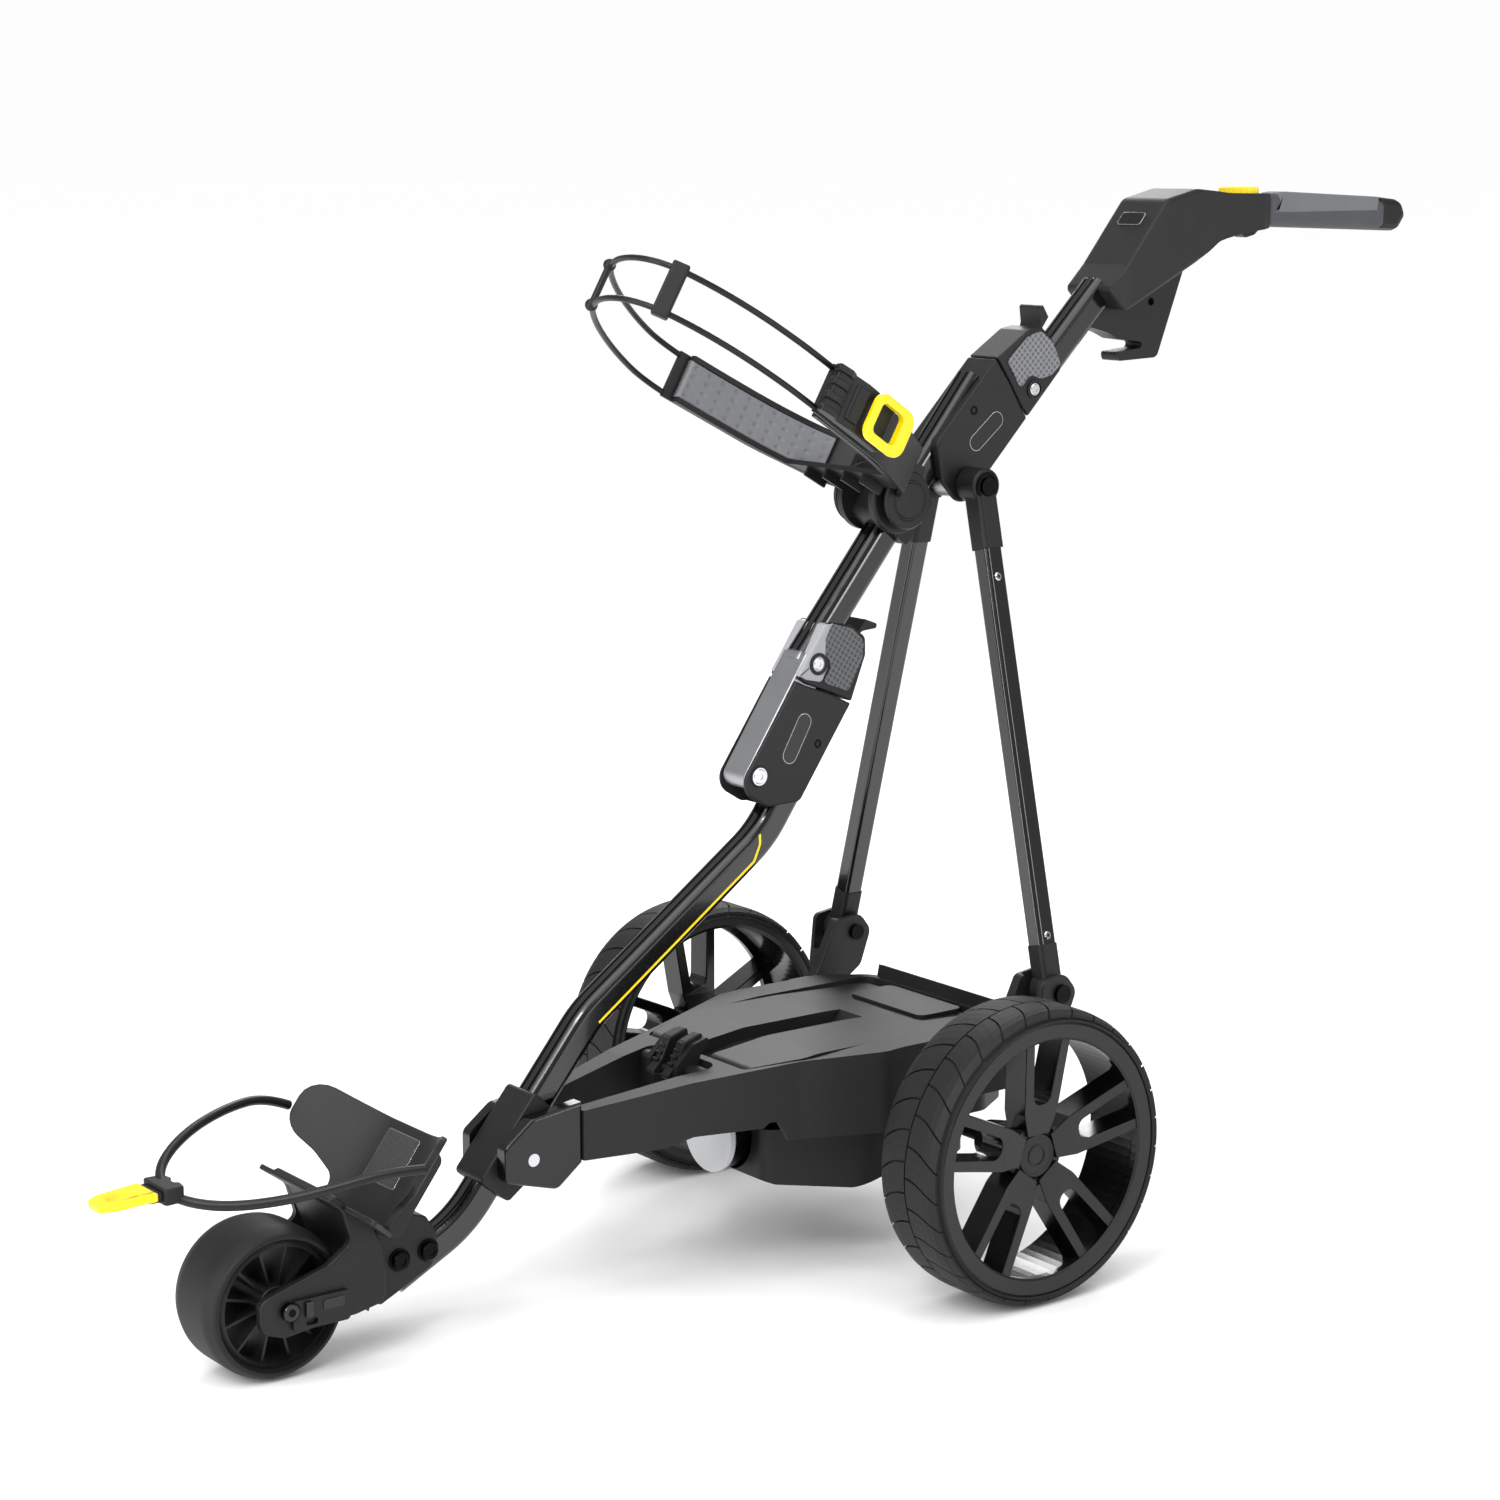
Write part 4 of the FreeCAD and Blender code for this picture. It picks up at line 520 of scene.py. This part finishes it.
bm = bmesh.new()
for side in (-1, 1):
    addScrew(bm, lowFrame(0, 0, 22.6 * side), outward[side], 7.4, 0.9, 3.2)
keepPiece("lowerPinScrews", bm, "frame", [chromeSteel])
bm = bmesh.new()
for side in (-1, 1):
    addScrew(bm, lowFrame(122, 0, 22.4 * side), outward[side], 5.8, 0.9, 2.8)
    addScrew(bm, cradleHinge(side * 39.9), outward[side], 7.6, 1.2, 3.4)
keepPiece("middleScrews", bm, "middle", [chromeSteel])
bm = bmesh.new()
for side in (-1, 1):
    addScrew(bm, highFrame(122, 0, 22.4 * side), outward[side], 5.8, 0.9, 2.8)
keepPiece("upperLatchScrews", bm, "handle", [chromeSteel])
bm = bmesh.new()
for side in (-1, 1):
    addScrew(bm, lowFrame(59, 43.5, 22 * side), outward[side], 4.6, 0.7, 2.4)
keepPiece("lowerHousingScrews", bm, "frame", [blackSteel])
bm = bmesh.new()
for side in (-1, 1):
    addScrew(bm, highFrame(56, 44, 22 * side), outward[side], 5, 0.7, 2.6)
    addTurned(bm, [(14, -1), (14, 1.2), (12.6, 2.2), (10.6, 2.2), (9.8, 1.0), (9.8, -1), (14, -1)],
              highFrame(0, 0, 51 * side), outward[side], 40)
keepPiece("upperHousingScrews", bm, "middle", [blackSteel])
bm = bmesh.new()
for side in (-1, 1):
    addTurned(bm, [(10.4, -0.6), (10.4, 0.7), (9.7, 1.1), (8.7, 0.9), (8.7, -0.6), (10.4, -0.6)],
              lowFrame(0, 0, 22 * side), outward[side], 40)
keepPiece("lowerPinCollars", bm, "frame", [nylon])
bm = bmesh.new()
for side in (-1, 1):
    addTurned(bm, [(10.6, -0.6), (10.6, 1.3), (9.9, 1.8), (7.4, 1.5), (7.4, -0.6), (10.6, -0.6)],
              lowFrame(122, 0, 22 * side), outward[side], 40)
keepPiece("lowerLatchCollars", bm, "lower_latch", [nylon])
bm = bmesh.new()
for side in (-1, 1):
    addTurned(bm, [(9.6, -0.6), (9.6, 1.3), (8.9, 1.8), (7.4, 1.5), (7.4, -0.6), (9.6, -0.6)],
              highFrame(122, 0, 22 * side), outward[side], 40)
keepPiece("upperLatchCollars", bm, "upper_latch", [nylon])

# pale panel that wraps the front of the lower latch
bm = bmesh.new()
addPlate(bm, lowFrame, [(101, -13.8, 1), (158, -13.8, 5), (163, -6), (158, 0, 6), (136, 2, 8), (126, 12, 8),
                        (112, 14, 4), (108.5, 12), (102, -4)], -22.6, 22.6, 2.0)
keepPiece("lowerLatchPanel", bm, "lower_latch", [greyAbs])


print("front")
bm = bmesh.new()
for side in (-1, 1):
    for x, z in ((-533.2, 82.5), (-503.2, 85.5)):
        addScrew(bm, at(x, 34.5 * side, z), outward[side], 8.4, 1.4, 4.2)
        addTurned(bm, [(10.5, -5), (10.5, -3), (9.6, -2.4), (8.2, -2.4), (8.2, -5), (10.5, -5)],
                  at(x, 34.5 * side, z), outward[side], 32)
keepPiece("forkBolts", bm, "frame", [blackSteel])
axlePoint = (-656, 68)
bm = bmesh.new()
for side in (-1, 1):
    addScrew(bm, at(axlePoint[0], 57 * side, axlePoint[1]), outward[side], 8.2, 0.8, 3.6)
    addPlate(bm, lambda u, w, y: at(axlePoint[0] + u, y * side, axlePoint[1] + w),
             [(31, 5, 2), (52, 5, 2), (52, -4, 2), (31, -4, 2)], 56, 57.2, 0.4)
    addPlate(bm, lambda u, w, y: at(axlePoint[0] + u, y * side, axlePoint[1] + w),
             [(13, 7, 1.5), (20, 7, 1.5), (20, -7, 1.5), (13, -7, 1.5)], 56, 59.5, 0.6)
keepPiece("axleAdjusterParts", bm, "frame", [absGloss])

restLook = dict(flat=26, thick=6, slice=6)


def restBack(y):
    # how far the trough's sides run forward of its middle
    away = max(0, abs(y) - restLook["flat"])
    return -46 * (away / 90) ** 1.55


bm = bmesh.new()
restOutline = [(-116, 37, 22), (116, 37, 22), (116, -14, 20), (84, -22, 26), (58, -34, 12), (56, -56, 4),
               (-56, -56, 4), (-58, -34, 12), (-84, -22, 26), (-116, -14, 20)]
addPlate(bm, lambda u, w, y: Vector((y / 1000, u / 1000, w / 1000)), restOutline, 0, restLook["thick"], 1.6)
for k in range(-19, 20):
    bmesh.ops.bisect_plane(bm, geom=list(bm.verts) + list(bm.edges) + list(bm.faces),
                           plane_co=(0, k * restLook["slice"] / 1000, 0), plane_no=(0, 1, 0))
for v in bm.verts:
    back, y, along = (c * 1000 for c in v.co)
    if abs(y) > restLook["flat"]:
        back += restBack(y)
        y *= (1 + 0.03 * (back - restBack(y)) / restLook["thick"]) * 0.98
    v.co = restPoint(back, y, along)
bmesh.ops.recalc_face_normals(bm, faces=bm.faces)
lipBm = bmesh.new()
addPlate(lipBm, lambda u, w, y: restPoint(u, w, y),
         [(-53, -106, 4), (-52, 106, 4), (0, 60, 18), (8, 50, 4), (8, -50, 4), (0, -60, 18)], -60, -55, 1.2)
for sideRib in (-44, 44):
    addPlate(lipBm, lambda u, w, y: restPoint(u, sideRib + y, w),
             [(3, -58, 2), (18, -58, 6), (18, 22, 8), (3, 30, 2)], -2, 2, 0.6)
mergeInto(bm, lipBm)
addPlate(bm, lambda u, w, y: restPoint(u, w, y), [(5, -26, 4), (24, -26, 6), (24, 26, 6), (5, 26, 4)], -56, 25,
         1.2)
keepPiece("bagRestTrough", bm, "frame", [charcoalNylon], ["bag_rest"])

# woven label on the rest: plain weave of 1 mm threads, drawn coarser than real, with a silver edge
weave = bpy.data.materials.new("labelWovenPolyester")
weave.use_nodes = True
tree = weave.node_tree
coords = addNode(tree, "ShaderNodeTexCoord").outputs["Object"]
threads = addNode(tree, "ShaderNodeTexVoronoi", {"Scale": 1000 / 1.6, "Randomness": 0.4}, {"Vector": coords})
tint = addNode(tree, "ShaderNodeMix", {".data_type": "RGBA", 6: hexColour("#39393b"), 7: hexColour("#0d0d0e")},
               {0: threads.outputs["Distance"]})
relief = addNode(tree, "ShaderNodeBump", {"Strength": 0.6, "Distance": 0.0005},
                 {"Height": threads.outputs["Distance"]})
shader = tree.nodes["Principled BSDF"]
shader.inputs["Roughness"].default_value = 0.7
tree.links.new(tint.outputs[2], shader.inputs["Base Color"])
tree.links.new(relief.outputs["Normal"], shader.inputs["Normal"])


def labelFrame(u, w, y):
    return restPoint(y, u, w)


bm = bmesh.new()
addPlate(bm, labelFrame, [(-27, -22, 3), (27, -22, 3), (27, 28, 3), (-27, 28, 3)], 0.4, -0.35, 0.2)
keepPiece("labelEdge", bm, "frame", [silverFoil])
bm = bmesh.new()
addPlate(bm, labelFrame, [(-26, -21, 2.4), (26, -21, 2.4), (26, 27, 2.4), (-26, 27, 2.4)], 0.4, -0.6, 0.1)
keepPiece("labelField", bm, "frame", [weave])

# strap clip with its notched block, and the yellow finger loop in front of it
clipPoint = (-746, 181)
bm = bmesh.new()
addPlate(bm, lambda u, w, y: at(clipPoint[0] + u, w - 2, clipPoint[1] + y),
         [(-9, -22, 4), (10, -20, 3), (12, -8, 2), (8, -5, 1), (8, 5, 1), (12, 8, 2), (10, 20, 3), (-9, 22, 4)],
         -7.5, 7.5, 1.6)
addPlate(bm, lambda u, w, y: at(clipPoint[0] + u, w - 2, clipPoint[1] + y),
         [(-22, -15, 3), (-8, -17, 2), (-8, 17, 2), (-22, 15, 3)], -5, 4, 1.4)
keepPiece("strapClip", bm, "frame", [nylon], ["strap_hook_and_clip"])
bm = bmesh.new()
addPlate(bm, lambda u, w, y: at(clipPoint[0] + u, w - 2, clipPoint[1] + y + 0.06 * u + 2),
         [(-14, -20, 2), (-54, -17, 8), (-65, -10, 3), (-65, 10, 3), (-54, 17, 8), (-14, 20, 2), (-14, 13, 1),
          (-48, 10, 4), (-54, 6, 2), (-54, -6, 2), (-48, -10, 4), (-14, -13, 1)], -3.5, 3.5, 1.2)
keepPiece("fingerLoop", bm, "frame", [yellowAcetal])

print("cradle")
padLook = dict(rows=4, columns=11, deep=1.5, tall=38, long=170)
padPlan = [(-41, 57.5), (-62, 72.5), (-86, 84.5), (-112, 93.5), (-140, 100), (-170, 105.5), (-198, 109.5)]


def padSpot(share, side, lift, rise):
    # a point that share of the way along the pad's plan curve, lifted off it to the inside
    place = share * (len(padPlan) - 1)
    k = min(int(place), len(padPlan) - 2)
    t = place - k
    here, ahead = Vector(padPlan[k]), Vector(padPlan[k + 1])
    before, after = Vector(padPlan[max(k - 1, 0)]), Vector(padPlan[min(k + 2, len(padPlan) - 1)])
    spot = 0.5 * (2 * here + (ahead - before) * t + (2 * before - 5 * here + 4 * ahead - after) * t * t
                  + (3 * here - before - 3 * ahead + after) * t ** 3)
    run = ((ahead - before) * (1 - t) + (after - here) * t).normalized()
    return cradlePoint(spot.x + run.y * lift, side * (spot.y - run.x * lift * (1 if run.x > 0 else -1)), rise)


def addCurvedBar(bm, side, low, high, near, deep, across, dimpled=False):
    # strip along the pad's curve, as a grid thickened outward, with dimples pushed in on request
    bar = bmesh.new()
    bmesh.ops.create_grid(bar, x_segments=132 if dimpled else 24, y_segments=across, size=0.5)
    for v in bar.verts:
        share, rise = v.co.x + 0.5, low + (v.co.y + 0.5) * (high - low)
        lift = near
        if dimpled:
            column = share * padLook["columns"] - 0.5
            row = (rise / padLook["tall"] + 0.5) * padLook["rows"] - 0.5
            away = math.hypot((column - round(column)) * 15.4 / 3.4, (row - round(row)) * 9.5 / 2.4)
            rim = min(share * padLook["long"], (1 - share) * padLook["long"], rise - low, high - rise)
            lift -= padLook["deep"] * max(0, 1 - away ** 2) + 1.5 * max(0, 1 - rim / 2) ** 2
        v.co = padSpot(0.02 + 0.96 * share, side, lift, rise)
    grown = bmesh.ops.extrude_face_region(bar, geom=list(bar.faces))["geom"]
    bmesh.ops.translate(bar, verts=[g for g in grown if isinstance(g, bmesh.types.BMVert)],
                        vec=Vector((0, side * deep / 1000, 0)))
    mergeInto(bm, bar)


bm = bmesh.new()
for side in (-1, 1):
    addCurvedBar(bm, side, -19, 19, 4.6, 7, 40, dimpled=True)
keepPiece("cradlePads", bm, "bag_cradle", [smoothPadRubber], ["bag_pads"], smooth=True)

# raised rubber lips above and below each pad
bm = bmesh.new()
for side in (-1, 1):
    for low, high in ((-24.4, -19.4), (19.4, 24.4)):
        addCurvedBar(bm, side, low, high, 4.4, 7, 2)
keepPiece("padLips", bm, "bag_cradle", [nylon])


def buckleFrame(u, w, y):
    return cradlePoint(u, -w, y)


# cord buckle with a block of notches where the cords enter
bm = bmesh.new()
addPlate(bm, buckleFrame, [(-120, 109), (-206, 123.5), (-208, 134, 3), (-196, 134.5, 2), (-186, 131),
                           (-168, 131.5, 3),
                           (-122, 121, 4)], -23, 23, 1.4)
for rise in (-20, -7, 7, 20):
    addPlate(bm, buckleFrame, [(-209, 126, 1), (-211, 136, 2), (-196, 137.5, 2), (-188, 133, 1), (-188, 126, 1)],
             rise - 3.2, rise + 3.2, 0.9)
addPlate(bm, buckleFrame, [(-184, 126, 2), (-180, 134.5, 4), (-166, 134, 3), (-164, 126, 2)], -17, 17, 1.6)
keepPiece("cordBuckle", bm, "bag_cradle", [nylon], ["bag_buckle"])

# domed covers over the cradle's hinge
bm = bmesh.new()
for side in (-1, 1):
    addTurned(bm, [(0.01, -1), (27, -1), (28, 1.5), (26.5, 3.6), (20, 4.4), (19, 3.4), (17.5, 3.4), (16.5, 4.6),
                   (0.01, 5.4)],
              cradleHinge(side * 37.4), outward[side], 48)
keepPiece("hingeCovers", bm, "bag_cradle", [nylon])

print("handle")


def headFrame(u, w, y):
    return at(124.049 + u, y, 729.886 + w)


# pale textured panel over the grip's top and sides, and the dark cap at its end
bm = bmesh.new()
addPlate(bm, headFrame, [(415, 252, 3), (424, 274.4, 4), (436, 275.7), (575, 269.2), (575, 251.5), (436, 251)],
         -16.7, 16.7, 5.5)
keepPiece("gripPanel", bm, "handle", [panelRubber])
bm = bmesh.new()
addPlate(bm, headFrame, [(575.4, 269), (609, 265.6, 12), (616.6, 249, 8), (604, 233.2, 10), (575.4, 234.4)],
         -16.8, 16.8, 7)
keepPiece("gripCap", bm, "handle", [nylon])

# silver-edged plate on the shell's sloping front
shellFront = sideFrame(346.049, 969.486, 50.9, -1)


def plateFrame(u, w, y):
    return shellFront(14 + w, y, u)


for plateName, grow, lift, finish, slotName in (("frontBadgeRim", 1, 0.6, silverFoil, "bright_steel"),
                                                ("frontBadgeField", 0, 0.9, absGloss, "moulded_black")):
    bm = bmesh.new()
    addPlate(bm, plateFrame, [(-16 - grow, -7 - grow, 4), (16 + grow, -7 - grow, 4), (16 + grow, 7 + grow, 4),
                              (-16 - grow, 7 + grow, 4)], -1, lift, 0.3)
    keepPiece(plateName, bm, "handle", [finish])

# speed dial with a knurled rim, a dished top and a pointer
bm = bmesh.new()
dialMiddle = at(504.049, 0, 1001.286)
rim = bmesh.ops.create_circle(bm, cap_ends=True, radius=0.0205, segments=96)["verts"]
for k, v in enumerate(sorted(rim, key=lambda v: math.atan2(v.co.y, v.co.x))):
    v.co *= 1 if k % 4 < 2 else 0.965
grown = bmesh.ops.extrude_face_region(bm, geom=list(bm.faces))["geom"]
bmesh.ops.translate(bm, verts=[g for g in grown if isinstance(g, bmesh.types.BMVert)], vec=(0, 0, 0.0085))
dialTop = [g for g in grown if isinstance(g, bmesh.types.BMFace)]
bmesh.ops.inset_region(bm, faces=dialTop, thickness=0.002, depth=0.0012)
bmesh.ops.inset_region(bm, faces=dialTop, thickness=0.003, depth=-0.001)
bmesh.ops.translate(bm, verts=list(bm.verts), vec=dialMiddle)


def dialFrame(u, w, y):
    return dialMiddle + Vector((u, w, y)) / 1000


addPlate(bm, dialFrame, [(-13, -1.2, 1), (-3, -1.2, 1), (-3, 1.2, 1), (-13, 1.2, 1)], 7, 9.6, 0.3)
addTurned(bm, [(0.01, -11), (3.9, -11), (3.9, 0.5), (0.01, 0.5)], dialMiddle, (0, 0, 1), 24)
keepPiece("speedDialKnurled", bm, "speed_dial", [yellowAcetal], ["speed_dial"])

print("battery")


def sideWall(side):
    return lambda u, w, y: at(u, y * side, w)


# two ribbed finger wings on the battery catch
bm = bmesh.new()
for side in (-1, 1):
    addPlate(bm, sideWall(side),
             [(-236, 192, 3), (-222, 206, 4), (-213, 225, 6), (-192, 232, 3), (-190.5, 224, 2), (-202, 218, 5),
              (-206, 200, 4), (-214, 190, 3)], 6, 17.4, 1.4)
    for k in range(4):
        addPlate(bm, sideWall(side), [(-225 + 4 * k, 203 + 6 * k, 1), (-227 + 4 * k, 205 + 6 * k, 1),
                                      (-225 + 4 * k, 207 + 6 * k, 1), (-223 + 4 * k, 205 + 6 * k, 1)], 7.5, 16,
                 0.3)
keepPiece("catchWings", bm, "battery_catch", [nylon])

# small screws near the top and the foot of each strut
strutRun = Vector((0.0174, -0.2469, 0.9689))
bm = bmesh.new()
for side in (-1, 1):
    run = Vector((strutRun.x, strutRun.y * side, strutRun.z))
    across = Vector((0, side, 0.2548)).normalized()
    for along in (52, 400):
        addScrew(bm, at(115.5, 160 * side, 255) + run * along / 1000 + across * 0.0102, across, 4.2, 0.7, 1.8)
keepPiece("strutScrews", bm, "struts", [chromeSteel])


print("studio")
floorMesh = bpy.data.meshes.new("floor")
bm = bmesh.new()
bmesh.ops.create_grid(bm, x_segments=1, y_segments=1, size=80)
bm.to_mesh(floorMesh)
bm.free()
floor = bpy.data.objects.new("floor", floorMesh)
bpy.context.collection.objects.link(floor)
floor.location.z = -0.0005
floorMesh.materials.append(surfaceMaterial("paintedFloorWhite", "#f4f4f4", "#fafafa", 0.8, 8, 0.01))


def softLight(name, place, aim, size, power):
    lamp = bpy.data.objects.new(name, bpy.data.lights.new(name, "AREA"))
    bpy.context.collection.objects.link(lamp)
    lamp.location = place
    lamp.data.shape = "RECTANGLE"
    lamp.data.size, lamp.data.size_y = size
    lamp.data.energy = power
    lamp.rotation_euler = (Vector(aim) - Vector(place)).to_track_quat("-Z", "Y").to_euler()


sun = bpy.data.objects.new("skylight", bpy.data.lights.new("skylight", "SUN"))
bpy.context.collection.objects.link(sun)
sun.data.energy = 2.3
sun.data.angle = math.radians(75)
sun.rotation_euler = (math.radians(8), math.radians(-14), 0)
softLight("keyStrip", (-2.6, -1.6, 2.4), (0, 0, 0.5), (0.5, 2.0), 55)
softLight("frontStrip", (-3.4, 0.5, 1.2), (0, 0, 0.5), (0.4, 2.4), 45)
softLight("sideStrip", (1.6, -3.2, 1.5), (0, 0, 0.5), (0.5, 2.2), 30)
softLight("backStrip", (1.8, 2.6, 2.2), (0, 0, 0.5), (1.6, 1.0), 45)
world = bpy.data.worlds.new("paleRoom")
world.use_nodes = True
roomTree = world.node_tree
sight = addNode(roomTree, "ShaderNodeLightPath")
level = addNode(roomTree, "ShaderNodeMapRange", {"To Min": 0.42, "To Max": 1.0},
                {"Value": sight.outputs["Is Camera Ray"]})
roomTree.nodes["Background"].inputs["Color"].default_value = hexColour("#fdfdfe")
roomTree.links.new(level.outputs["Result"], roomTree.nodes["Background"].inputs["Strength"])
bpy.context.scene.world = world
bpy.context.scene.view_settings.view_transform = "Standard"
